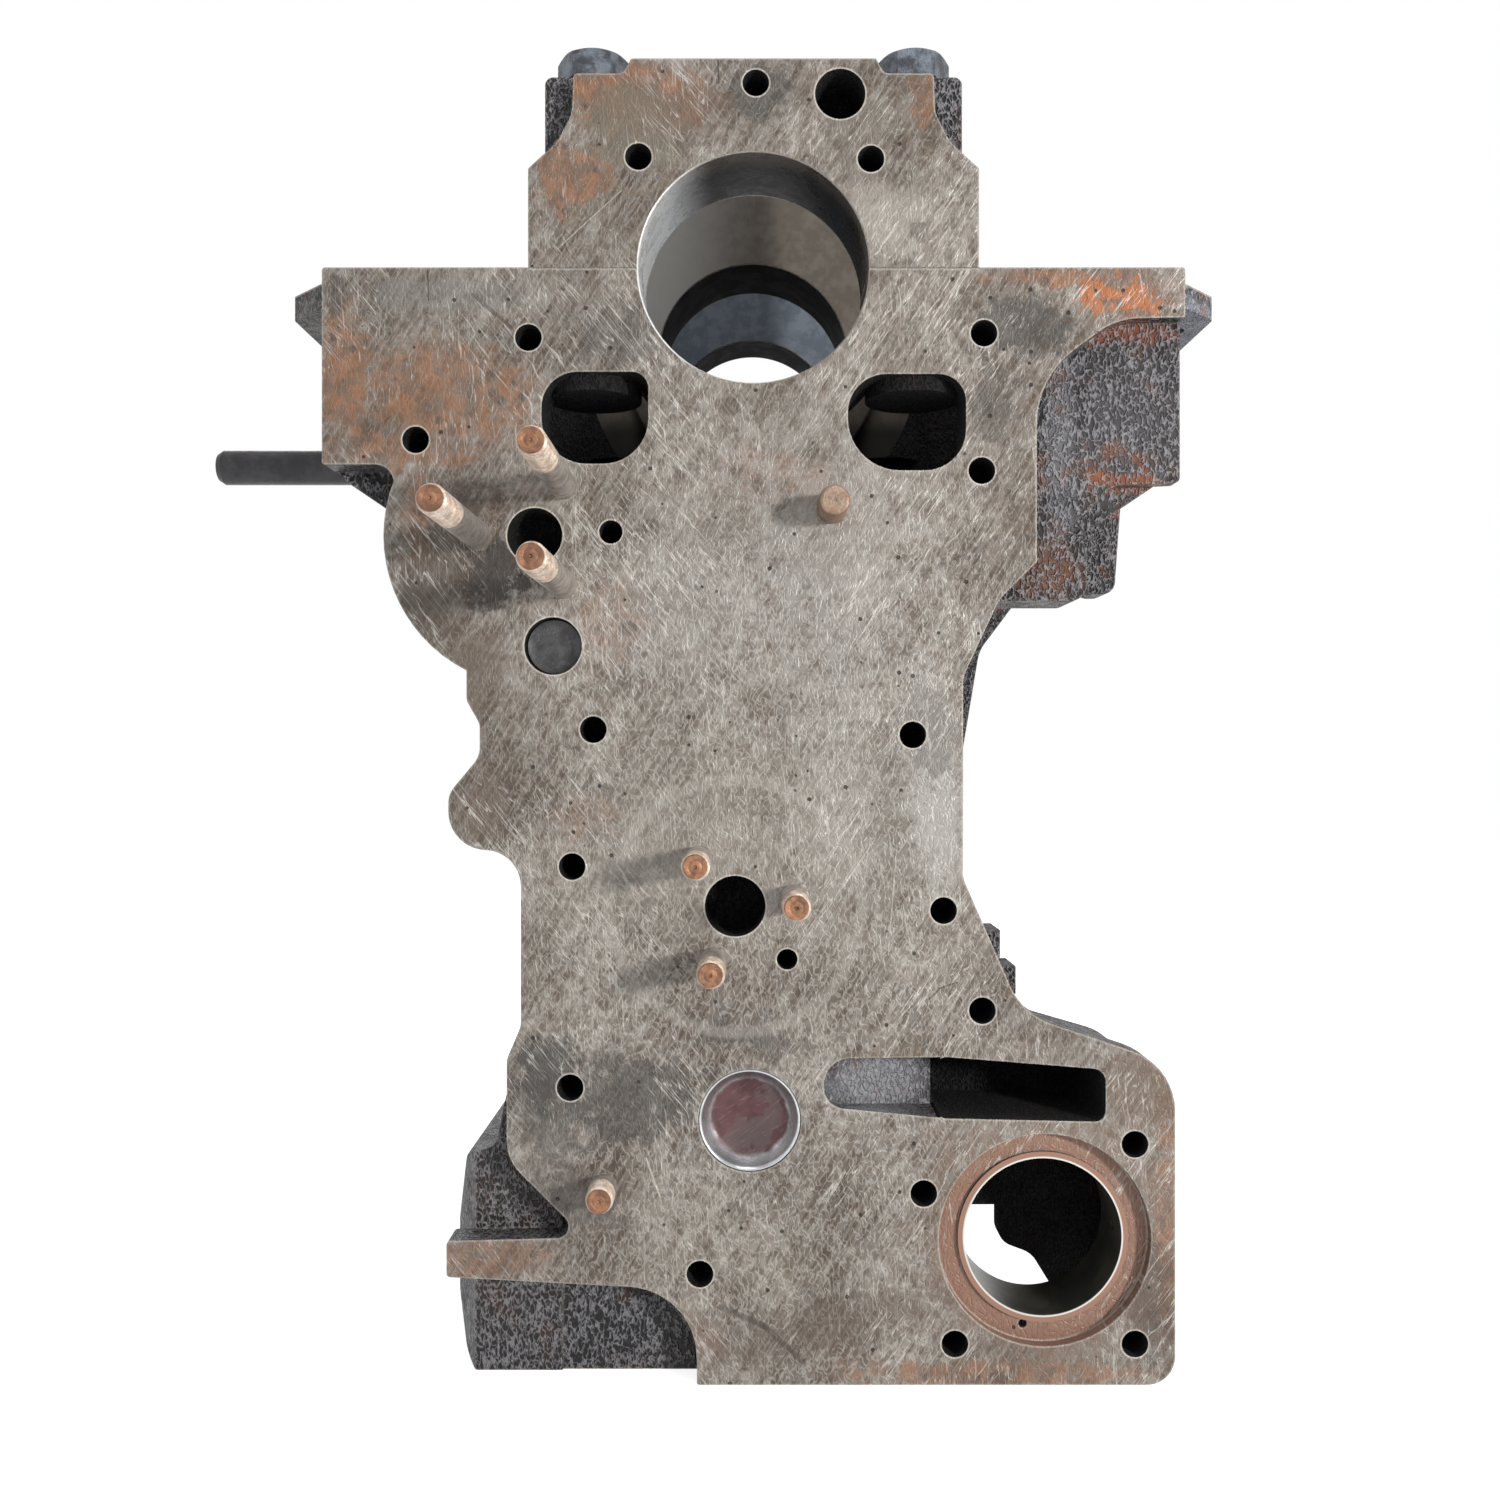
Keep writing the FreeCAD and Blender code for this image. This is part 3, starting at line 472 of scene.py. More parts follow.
def worn_face(tree, place, axis, broad, middle, rag, rusts, stains, strokes, rings):
    """The colour of a machined face, with a painted highlight on its curls, and the height of its lines,
    curls and pores.
    """
    fine = cloud(tree, place, 230.0, 0.42, 0.62)
    grain = ruled(tree, place, 58, 300.0, 0.09)
    curls = use_group(tree, sand_skin, {"Vector": place, "Scale": 400.0, "Width": 0.08})["Ridges"]
    face = blend(tree, broad, srgb(92, 85, 77), srgb(144, 138, 130))
    face = blend(tree, times(tree, middle, 0.5), face, srgb(104, 88, 75))
    sideways = arith(tree, "ABSOLUTE", axis["X"])
    belly = times(tree, remap(tree, axis["Z"], -0.06, -0.13), remap(tree, sideways, 0.11, 0.05))
    curly = arith(tree, "ADD", 0.12, times(tree, belly, 0.14))
    face = blend(tree, times(tree, fine, 0.62), face, srgb(72, 57, 45))
    face = blend(tree, times(tree, grain, 0.18), face, srgb(196, 192, 186))
    # painted highlight: the curls are painted near white, as a sheen on the face's texture
    face = blend(tree, times(tree, curls, curly), face, srgb(214, 211, 205))

    # rust, then stains of oil and of bare metal
    rusted = None
    for x, z, wide, high, turn, ragged, soft, strength in rusts:
        mask = times(tree, stain_mask(tree, place, rag, x, z, wide, high, turn, ragged, soft), strength)
        rusted = mask if rusted is None else arith(tree, "MAXIMUM", rusted, mask)
    flecks = dots(tree, place, 260.0, 0.55, 0.2, 0.34)
    rust_tone = blend(tree, middle, srgb(112, 88, 73), srgb(146, 104, 76))
    rust_tone = blend(tree, times(tree, flecks, 0.8), rust_tone, srgb(74, 62, 56))
    face = blend(tree, times(tree, rusted, 0.8), face, rust_tone)
    for x, z, wide, high, turn, ragged, soft, colour, strength in stains:
        mask = stain_mask(tree, place, rag, x, z, wide, high, turn, ragged, soft)
        face = blend(tree, times(tree, mask, strength), face, srgb(*colour))

    # oil drops, the rings that washers leave, cutter lines, scores and pores
    drops = dots(tree, place, 105.0, 0.46, 0.1, 0.36)
    drops_here = cloud(tree, place, 15.0, 0.5, 0.58)
    face = blend(tree, times(tree, drops, drops_here, 0.55), face, srgb(72, 64, 57))
    for x, z, radius, half_width, colour, strength in rings:
        off = arith(tree, "SUBTRACT", distance_from(tree, place, (x, z)), radius / 1000)
        ring_mask = remap(tree, arith(tree, "ABSOLUTE", off), half_width / 1000, half_width / 3000)
        face = blend(tree, times(tree, ring_mask, strength), face, srgb(*colour))
    cut_lines = None
    for turn, scale, width, strength, fade_from, fade_to in cutter_lines:
        where = cloud(tree, place, 18.0 + turn / 12, 0.44, 0.56)
        where = times(tree, where, remap(tree, axis["X"], fade_from, fade_to))
        lines = times(tree, ruled(tree, place, turn, scale, width), where)
        face = blend(tree, times(tree, lines, strength), face, srgb(212, 207, 200))
        cut_lines = lines if cut_lines is None else arith(tree, "ADD", cut_lines, lines)
    for x, z, run_x, run_z, width, colour, strength in strokes:
        feeds = {
            "Vector": place,
            "Start": (x / 1000, 0, z / 1000),
            "Run": (run_x / 1000, 0, run_z / 1000),
            "Width": width / 1000,
        }
        mask = use_group(tree, stroke, feeds)["Mask"]
        face = blend(tree, times(tree, mask, strength), face, srgb(*colour))
    pores = dots(tree, place, 210.0, 0.19, 0.06, 0.26)
    face = blend(tree, times(tree, pores, 0.85), face, srgb(36, 32, 30))
    marks = arith(tree, "ADD", times(tree, cut_lines, 0.00008), times(tree, pores, 0.0004))
    return face, arith(tree, "ADD", marks, times(tree, curls, 0.00012))


def sand_cast(tree, place, axis, broad, middle, rag, skin_stains_and_sheen):
    """The sand skin's colour, dark with painted highlights on its ridges and rust where water stood; and
    its height.
    """
    skin = use_group(tree, sand_skin, {"Vector": place, "Scale": 500.0, "Width": 0.14})
    skin_rust = cloud(tree, place, 60.0, 0.52, 0.66)
    rough = blend(tree, broad, srgb(22, 21, 23), srgb(36, 32, 30))
    for x, z, wide, high, turn, ragged, soft, colour, strength in skin_stains_and_sheen:
        mask = times(tree, stain_mask(tree, place, rag, x, z, wide, high, turn, ragged, soft), strength)
        rough = blend(tree, mask, rough, srgb(*colour))
    skin_rust = times(tree, skin_rust, remap(tree, axis["X"], -0.05, 0.12, 0.15, 0.7))
    rough = blend(tree, times(tree, skin_rust, middle), rough, srgb(128, 76, 46))
    # painted highlight on the skin's ridges
    rough = blend(tree, times(tree, skin["Ridges"], 0.52), rough, srgb(164, 162, 166))
    return rough, skin["Height"]


# A machined plane takes in all that lies this near to it.
face_skin = 0.0003
hole_band = 0.03
# colour of edge wear and of the painted highlight on edges and hole rims
wear_and_highlight_colour = (214, 207, 198)


def worn_iron(name, cuts, insides, holes, rusts, stains, skin_stains_and_sheen, strokes, rings):
    """Used grey iron: brown-grey where cuts says that it was machined, and dark sand skin elsewhere. Edges
    are worn bright and carry a painted highlight, hole rims carry a painted highlight, and drilled and deep
    places are painted black as shade."""
    made, tree, place = new_material(name)
    axis = add_node(tree, "SeparateXYZ", feeds={0: place}).outputs
    machined, bore, web_face = cuts(tree, place, axis)
    smooth = arith(tree, "MAXIMUM", bore, web_face)
    rest = arith(tree, "SUBTRACT", 1.0, smooth)

    # cloudy tones that both finishes share, and the noise that frays every stain
    broad = cloud(tree, place, 24.0, 0.38, 0.62)
    middle = cloud(tree, place, 130.0, 0.4, 0.6)
    rag_feeds = {"Vector": place, "Scale": 110.0, "Detail": 6.0, "Roughness": 0.78}
    rag = arith(tree, "SUBTRACT", add_node(tree, "TexNoise", feeds=rag_feeds).outputs[0], 0.5)
    rag = times(tree, rag, 4.5)
    face, marks = worn_face(tree, place, axis, broad, middle, rag, rusts, stains, strokes, rings)
    rough, skin_height = sand_cast(tree, place, axis, broad, middle, rag, skin_stains_and_sheen)

    # edges worn bright with a painted highlight, holes painted black as shade, and their rims with a
    # painted highlight
    round_edge = add_node(tree, "Bevel", {"samples": 3}, {"Radius": 0.0011}).outputs[0]
    flat_normal = add_node(tree, "NewGeometry").outputs["Normal"]
    bend = vector_math(tree, "DOT_PRODUCT", round_edge, flat_normal)["Value"]
    edge_wear_and_highlight = arith(tree, "ADD", times(tree, machined, 0.65), 0.3)
    worn_and_highlit_edge = times(tree, remap(tree, bend, 0.985, 0.86), edge_wear_and_highlight)
    hole_gap = nearest_edge(tree, place, holes)
    front_zone = arith(tree, "LESS_THAN", axis["Y"], hole_band)
    in_hole = times(tree, arith(tree, "LESS_THAN", hole_gap, 0.00005), front_zone)
    # painted highlight round the mouths of the holes on the front face
    rim = times(tree, remap(tree, hole_gap, 0.0009, 0.0002), arith(tree, "LESS_THAN", axis["Y"], face_skin))
    # painted shade: holes and the insides, which are painted near black
    painted_shade_inside = arith(tree, "MAXIMUM", in_hole, insides(tree, place, axis)) if insides else in_hole
    painted_shade_inside = times(tree, painted_shade_inside, rest)

    colour = blend(tree, machined, rough, face)
    colour = blend(tree, web_face, colour, web_tone_and_painted_light(tree, axis, middle))
    colour = blend(tree, bore, colour, bore_painted_light(tree, axis))
    # edge wear with a painted highlight, and a painted highlight on hole rims
    wear_and_highlight_share = arith(tree, "MAXIMUM", worn_and_highlit_edge, times(tree, rim, 0.6))
    colour = blend(tree, wear_and_highlight_share, colour, srgb(*wear_and_highlight_colour))
    # painted shade: holes and the block's insides near black
    colour = blend(tree, times(tree, painted_shade_inside, 0.93), colour, srgb(9, 8, 8))

    uncut = arith(tree, "SUBTRACT", 1.0, arith(tree, "MAXIMUM", machined, smooth))
    dents = times(tree, skin_height, uncut, 0.0008)
    height = arith(tree, "SUBTRACT", dents, times(tree, marks, machined, rest))
    shine = times(tree, smooth, arith(tree, "LESS_THAN", axis["Y"], second_wall_y))
    roughness = arith(tree, "ADD", times(tree, middle, 0.16), 0.4)
    roughness = arith(tree, "SUBTRACT", roughness, times(tree, shine, 0.16))
    dull_depth = arith(tree, "MAXIMUM", painted_shade_inside, arith(tree, "SUBTRACT", smooth, shine))
    feeds = {
        "Base Color": colour,
        "Roughness": arith(tree, "ADD", roughness, times(tree, dull_depth, 0.5)),
        "Normal": relief(tree, height, round_edge),
        "Metallic": arith(tree, "ADD", times(tree, machined, 0.2), times(tree, shine, 0.3)),
        "Specular IOR Level": 0.28,
    }
    surface(tree, feeds)
    return made


crank_radius = 0.0425
faced_ring_radius = 0.0745
pump_centre = (106.0, -353.8)
pump_seat_radius = 0.0389
pump_seat_back = 0.0053
pump_room_radius = 0.04
pump_room_depth = (0.0135, 0.062)
front_wall_back = 0.0217
rear_wall_front = rear_y - 0.0142
skirt_inside = 0.1473
skirt_foot = -0.0683
flank_lean = 1.8
bay_foot = -0.11
cylinder_outside = 0.0685
window_x = (0.034, 0.0785)
window_z = (-0.0745, -0.0372)
slot_x = (0.0668, 0.1285)
slot_z = (-0.3112, -0.2865)
cut_through_depth = (0.0008, 0.05)


def near_crank(tree, place, axis):
    """1 on the faced rings round the crank bore of the second and third walls."""
    ring = arith(tree, "LESS_THAN", distance_from(tree, place, (0, 0)), faced_ring_radius)
    return times(tree, ring, arith(tree, "GREATER_THAN", axis["Y"], second_wall_y))


def block_cuts(tree, place, axis):
    """1 on the front, deck, rails, rear face, pump seat and bores, from where they lie; 1 in the crank
    bore; and 1 on the faced rings."""
    front = arith(tree, "LESS_THAN", axis["Y"], face_skin)
    deck = arith(tree, "LESS_THAN", axis["Z"], floor_z + face_skin)
    rails = arith(tree, "GREATER_THAN", axis["Z"], -0.0007)
    rear = arith(tree, "GREATER_THAN", axis["Y"], rear_y - face_skin)
    bore = arith(tree, "LESS_THAN", distance_from(tree, place, (0, 0)), crank_radius)
    in_seat = arith(tree, "LESS_THAN", distance_from(tree, place, pump_centre), pump_seat_radius)
    seat = times(tree, in_seat, arith(tree, "LESS_THAN", axis["Y"], pump_seat_back))
    return any_of(tree, [front, deck, rails, rear, bore, seat]), bore, near_crank(tree, place, axis)


def block_insides(tree, place, axis):
    """1 inside the crankcase and cylinders, behind the windows, in the pump room and deep in the slot,
    where painted black shade goes.
    """
    walls = within(tree, axis["Y"], front_wall_back, rear_wall_front)
    half = arith(tree, "ABSOLUTE", axis["X"])
    above_foot = arith(tree, "GREATER_THAN", axis["Z"], skirt_foot)
    crankcase = times(tree, arith(tree, "LESS_THAN", half, skirt_inside), above_foot)
    under_foot = times(tree, arith(tree, "SUBTRACT", axis["Z"], skirt_foot), flank_lean)
    flank = arith(tree, "ADD", under_foot, skirt_inside)
    leaning = within(tree, axis["Z"], bay_foot, skirt_foot)
    slope = times(tree, arith(tree, "LESS_THAN", half, flank), leaning)
    cylinders = arith(tree, "LESS_THAN", half, cylinder_outside)
    hollow = times(tree, any_of(tree, [crankcase, slope, cylinders]), walls)
    windows = times(tree, within(tree, half, *window_x), within(tree, axis["Z"], *window_z))
    slot = times(tree, within(tree, axis["X"], *slot_x), within(tree, axis["Z"], *slot_z))
    through = times(tree, any_of(tree, [windows, slot]), within(tree, axis["Y"], *cut_through_depth))
    room = arith(tree, "LESS_THAN", distance_from(tree, place, pump_centre), pump_room_radius)
    room = times(tree, room, within(tree, axis["Y"], *pump_room_depth))
    above_deck = arith(tree, "GREATER_THAN", axis["Z"], floor_z + face_skin)
    return times(tree, any_of(tree, [hollow, through, room]), above_deck)


# In these tables places and sizes are in millimetres, and turns are in degrees.
bright = (176, 173, 168)
oil = (70, 68, 66)
copper = (146, 112, 96)
# Drilled holes: x, z, radius.
block_holes = [
    (-81.9, -25.5, 4.8),
    (83.8, -23.9, 4.8),
    (-122.9, -62.7, 4.8),
    (83.0, -73.9, 4.8),
    (-58.3, -168.1, 4.8),
    (57.9, -170.0, 4.8),
    (-66.0, -217.9, 4.8),
    (69.1, -233.9, 4.8),
    (83.2, -270.3, 4.8),
    (-66.7, -298.3, 4.8),
    (61.9, -336.8, 4.8),
    (138.7, -318.9, 4.8),
    (73.2, -391.5, 4.8),
    (138.7, -391.5, 4.8),
    (-19.5, -366.1, 4.8),
    (-51.9, -96.2, 4.2),
    (12.2, -251.6, 3.7),
    (-79.6, -97.5, 10.0),
    (-6.7, -232.3, 11.0),
    (-72.9, -137.7, 10.4),
]
# Rust: x, z, half width, half height, turn, raggedness, softness, strength.
block_rusts = [
    (-112, -46, 42, 24, -8, 0.4, 0.5, 0.85),
    (-148, -40, 12, 34, 0, 0.6, 0.5, 1.0),
    (-126, -66, 38, 9, 0, 0.6, 0.5, 0.8),
    (-122, -90, 8, 22, 0, 0.6, 0.5, 0.7),
    (108, -4, 26, 4, 0, 0.7, 0.4, 0.8),
    (150, -345, 6, 62, 0, 0.6, 0.5, 0.8),
    (90, -402, 74, 6, 0, 0.6, 0.5, 0.8),
    (-96, -360, 28, 9, 0, 0.4, 0.5, 0.6),
    (-52, -128, 14, 20, 0, 0.8, 0.5, 0.5),
    (-60, -200, 14, 9, 0, 0.9, 0.4, 0.4),
    (10, -75, 24, 12, 0, 0.9, 0.4, 0.35),
]
# Stains have a colour before the strength.
block_stains = [
    (30, -110, 50, 84, 0, 0.8, 0.9, bright, 0.42),
    (-25, -120, 50, 60, 0, 0.5, 0.9, bright, 0.3),
    (32, -200, 40, 80, 0, 0.5, 0.9, (160, 157, 151), 0.35),
    (66, -190, 13, 60, 4, 0.4, 0.6, bright, 0.65),
    (-30, -210, 60, 50, 0, 0.5, 0.9, (158, 153, 145), 0.4),
    (-112, -10, 44, 8, 0, 0.4, 0.6, (122, 120, 116), 0.5),
    (137, -9, 24, 13, 0, 0.5, 0.5, (116, 90, 78), 0.7),
    (132, -10, 12, 6, 0, 2.6, 0.15, (184, 106, 52), 0.6),
    (-152, -10, 5, 10, 0, 0.6, 0.5, (78, 70, 66), 0.7),
    (-92, -110, 18, 13, 30, 0.9, 0.4, (56, 53, 50), 0.85),
    (-104, -150, 16, 26, -30, 0.5, 0.6, (112, 100, 90), 0.6),
    (-98, -196, 12, 16, 0, 0.5, 0.5, (108, 96, 86), 0.6),
    (-44, -302, 34, 20, 0, 0.7, 0.5, oil, 0.7),
    (-74, -306, 18, 30, 0, 0.7, 0.6, (84, 80, 77), 0.6),
    (-116, -110, 18, 40, -20, 0.7, 0.5, (78, 68, 60), 0.7),
    (3, -280, 25, 9, -8, 1.2, 0.6, (84, 80, 76), 0.6),
    (-76, -292, 13, 16, 0, 0.7, 0.4, oil, 0.7),
    (-64, -340, 22, 16, 0, 0.7, 0.5, (88, 82, 78), 0.6),
    (96, -22, 22, 13, 0, 0.8, 0.4, oil, 0.7),
    (-48, -24, 22, 13, 0, 0.8, 0.5, oil, 0.5),
    (86, -48, 10, 14, 0, 0.9, 0.4, oil, 0.45),
    (64, -170, 10, 20, 0, 0.9, 0.3, (84, 78, 72), 0.5),
    (52, -292, 22, 12, 0, 0.7, 0.5, (112, 98, 84), 0.5),
    (140, -300, 22, 16, -14, 0.6, 0.5, (108, 92, 80), 0.65),
    (106, -354, 56, 58, 0, 0.5, 0.5, (124, 106, 94), 0.75),
    (145, -376, 12, 28, 0, 0.7, 0.4, (84, 72, 66), 0.65),
    (28, -385, 60, 12, 14, 0.7, 0.5, (96, 84, 76), 0.55),
    (-30, -390, 20, 14, 0, 0.6, 0.5, (132, 112, 98), 0.6),
    (106, -354, 39, 39, 0, 0.0, 0.02, copper, 0.85),
]
# Stains on the sand skin, and one painted sheen.
block_skin_stains_and_sheen = [
    # painted sheen on the slot's shelf
    (46, -299, 26, 16, 0, 0.2, 0.7, (150, 152, 158), 0.75),
    (113, -62, 8, 50, 0, 0.5, 0.7, (126, 126, 132), 0.6),
    (136, -60, 32, 50, 0, 0.5, 0.8, (72, 69, 72), 0.6),
    (170, -16, 14, 15, 0, 0.3, 0.4, (124, 130, 141), 0.85),
    (-168, -16, 14, 15, 0, 0.3, 0.4, (92, 82, 74), 0.85),
    (130, -22, 28, 5, 0, 0.7, 0.5, (116, 62, 36), 0.8),
    (140, -77, 22, 4, -8, 0.6, 0.5, (128, 70, 40), 0.8),
    (107, -108, 20, 14, 0, 0.5, 0.5, (96, 62, 44), 0.8),
    (-95, -340, 12, 30, 0, 0.5, 0.6, (44, 36, 32), 0.8),
]
joint_line = (-82, -0.2, 164, 0, 0.4, (50, 43, 38), 0.9)
# Scores and drips: x, z, run along x, run along z, half width, colour, strength.
block_strokes = [
    joint_line,
    (-118.5, -1, 0.3, -11, 0.35, (70, 62, 56), 0.8),
    (-39, -324, 5, -14, 0.4, (202, 192, 180), 0.8),
    (64, -266, 4, 4, 0.4, (70, 62, 56), 0.7),
    (68, -262, 6, 2, 0.4, (70, 62, 56), 0.7),
    (-12, -378, 16, -7, 1.6, (70, 62, 56), 0.6),
    (4, -385, 14, -13, 1.6, (70, 62, 56), 0.6),
    (-102, -10, 14, -12, 0.9, (74, 66, 60), 0.6),
    (-82, -110, 22, -9, 0.3, (196, 188, 178), 0.6),
    (52, -212, -3, -38, 0.3, (196, 188, 178), 0.5),
]
# Washer marks: x, z, radius, half width, colour, strength.
block_rings = [(-6.7, -232.3, 46, 3.0, (176, 171, 164), 0.3)]
block_iron = worn_iron(
    "block_iron",
    block_cuts,
    block_insides,
    block_holes,
    block_rusts,
    block_stains,
    block_skin_stains_and_sheen,
    block_strokes,
    block_rings,
)


def paint(names, material):
    """Gives CAD nodes a material."""
    for name in names:
        for slot in nodes[name].material_slots:
            slot.material = material


paint(["cylinder_block"], block_iron)


# ---- Main bearing caps ----
# Iron caps bolted over the crank. The front one was faced together with the block, so its front is machined
# in one plane with it. Sides and backs keep the sand skin.
def cap_cuts(tree, place, axis):
    """1 on the front, rear, foot and bore; 1 in the crank bore; and 1 on the faced rings."""
    front = arith(tree, "LESS_THAN", axis["Y"], face_skin)
    rear = arith(tree, "GREATER_THAN", axis["Y"], rear_y - face_skin)
    bore = arith(tree, "LESS_THAN", distance_from(tree, place, (0, 0)), crank_radius)
    foot = arith(tree, "LESS_THAN", axis["Z"], -face_skin)
    return any_of(tree, [front, rear, bore, foot]), bore, near_crank(tree, place, axis)


cap_holes = [(0.8, 67.1, 4.8), (31.5, 63.1, 9.1), (-41.9, 40.3, 4.8), (42.7, 39.5, 4.8)]
cap_rusts = [
    (-44, 62, 32, 17, -8, 0.4, 0.4, 1.0),
    (-66, 32, 18, 14, 30, 0.6, 0.4, 0.9),
    (64, 62, 8, 14, 0, 0.6, 0.4, 0.7),
    (-72, 40, 8, 10, 0, 0.6, 0.4, 0.8),
]
cap_stains = [
    (-42, 52, 19, 18, 0, 0.5, 0.3, (112, 104, 92), 0.8),
    (0, 64, 14, 13, 0, 0.8, 0.4, oil, 0.6),
    (-22, 60, 16, 8, 0, 0.6, 0.4, (112, 94, 82), 0.6),
    (44, 18, 34, 20, 0, 0.4, 0.8, (166, 160, 152), 0.6),
    (38, 50, 18, 14, 0, 0.9, 0.4, (104, 96, 88), 0.5),
]
cap_strokes = [
    joint_line,
    (-70, 8, 22, 20, 0.3, (196, 188, 178), 0.5),
    (-13, 76, 0.3, -9, 0.4, (50, 42, 38), 0.8),
]
cap_rings = [(-41.9, 40.3, 13, 1.6, (122, 110, 94), 0.45)]
cap_marks = (cap_rusts, cap_stains, [], cap_strokes, cap_rings)
cap_iron = worn_iron("cap_iron", cap_cuts, None, cap_holes, *cap_marks)
paint(["front_main_cap", "main_cap_2", "rear_main_cap"], cap_iron)


# ---- Main cap bolts ----
# High-tensile steel bolts with a black finish, two to each cap, screwed into the block. Their hexagon heads
# have a turned crown and a round washer face.
def lathe(profile, centre, axis, steps, radius_at=None):
    """A closed turned mesh. profile is (radius, height, row) from one pole to the other, and radius_at may
    shape each row's radius and height by angle."""
    form = bmesh.new()
    side = Vector((0, 0, 1)) if axis == "Y" else Vector((0, 1, 0))
    along = {"X": Vector((1, 0, 0)), "Y": Vector((0, 1, 0)), "Z": Vector((0, 0, 1))}[axis]
    across = side.cross(along)
    rings = []
    for row, (radius, height) in enumerate(profile):
        if radius == 0:
            rings.append([form.verts.new(centre + along * height)])
            continue
        ring = []
        for step in range(steps):
            angle = 2 * math.pi * step / steps
            r, h = radius_at(row, angle, radius, height) if radius_at else (radius, height)
            outward = side * math.cos(angle) + across * math.sin(angle)
            ring.append(form.verts.new(centre + along * h + outward * r))
        rings.append(ring)
    for first, second in zip(rings, rings[1:]):
        for step in range(steps):
            ahead = (step + 1) % steps
            if len(first) == 1:
                form.faces.new((first[0], second[step], second[ahead]))
            elif len(second) == 1:
                form.faces.new((first[step], second[0], first[ahead]))
            else:
                form.faces.new((first[step], second[step], second[ahead], first[ahead]))
    bmesh.ops.recalc_face_normals(form, faces=form.faces)
    return form


def axis_point(name, axis):
    """Where the axis of a turned CAD node crosses the plane through the origin."""
    lowest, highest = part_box(name)
    point = (lowest + highest) / 2
    point["XYZ".index(axis)] = 0.0
    return point


def dress(name, form, material, sharp_degrees=32):
    """Puts a mesh in the place of a plain CAD node, on the same body, with its own material."""
    for face in form.faces:
        face.smooth = True
    for line in form.edges:
        line.smooth = line.calc_face_angle(0.0) < math.radians(sharp_degrees)
    mesh = bpy.data.meshes.new(name + "_detail")
    form.to_mesh(mesh)
    form.free()
    piece = bpy.data.objects.new(name + "_detail", mesh)
    scene.collection.objects.link(piece)
    mesh.materials.append(material)
    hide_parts(name)
    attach(piece, "root")
    return piece


def steel(name, base, tint, rust_colour, rust_low, metallic, roughness, bump):
    """Old steel: a base tone with a cloudy tint, rust in patches and a fine grain."""
    made, tree, place = new_material(name)
    tinted = cloud(tree, place, 180.0, 0.36, 0.64)
    rusted = cloud(tree, place, 260.0, rust_low, rust_low + 0.16)
    grain = cloud(tree, place, 1400.0, 0.34, 0.66)
    colour = blend(tree, tinted, srgb(*base), srgb(*tint))
    colour = blend(tree, times(tree, rusted, 0.8), colour, srgb(*rust_colour))
    colour = blend(tree, times(tree, grain, 0.25), colour, srgb(60, 54, 50))
    round_edge = add_node(tree, "Bevel", {"samples": 2}, {"Radius": 0.0004}).outputs[0]
    rough = arith(tree, "ADD", times(tree, rusted, 0.25), roughness)
    metal = times(tree, arith(tree, "SUBTRACT", 1.0, rusted), metallic)
    normal = relief(tree, times(tree, grain, bump), round_edge)
    feeds = {"Base Color": colour, "Roughness": rough, "Metallic": metal, "Normal": normal}
    surface(tree, feeds)
    return made


bolt_steel = steel("bolt_steel", (58, 62, 68), (112, 120, 130), (120, 84, 66), 0.58, 0.7, 0.4, 0.00016)
bolt_flats = 0.024
head_bottom = 0.073
head_top = 0.0845
shank_radius = 0.008
shank_bottom = -0.032
crown_radius = bolt_flats / 2 * 0.9
crown_slope = math.tan(math.radians(30))
washer_step = 0.0006
washer_radius = bolt_flats / 2 * 0.95


def hexagon(angle):
    """How far the hexagon's side lies from its middle, in the direction of angle. Corners lie along X."""
    turn = (angle + math.pi / 2) % (math.pi / 3) - math.pi / 6
    return bolt_flats / 2 / math.cos(turn)


def bolt_row(row, angle, radius, height):
    """Rows 2 and 3 follow the hexagon, and the upper one slopes down to its corners."""
    if row not in (2, 3):
        return radius, height
    reach = hexagon(angle)
    if row == 2:
        return reach, head_top - max(0.0, reach - crown_radius) * crown_slope
    return reach, height


bolt_profile = [
    (0, head_top - 0.0004),
    (crown_radius, head_top),
    (bolt_flats / 2, head_top),
    (bolt_flats / 2, head_bottom + washer_step),
    (washer_radius, head_bottom + washer_step),
    (washer_radius, head_bottom),
    (shank_radius, head_bottom),
    (shank_radius, shank_bottom),
    (0, shank_bottom),
]
for name in nodes:
    if name.startswith("main_cap_bolt_"):
        dress(name, lathe(bolt_profile, axis_point(name, "Z"), "Z", 72, bolt_row), bolt_steel)


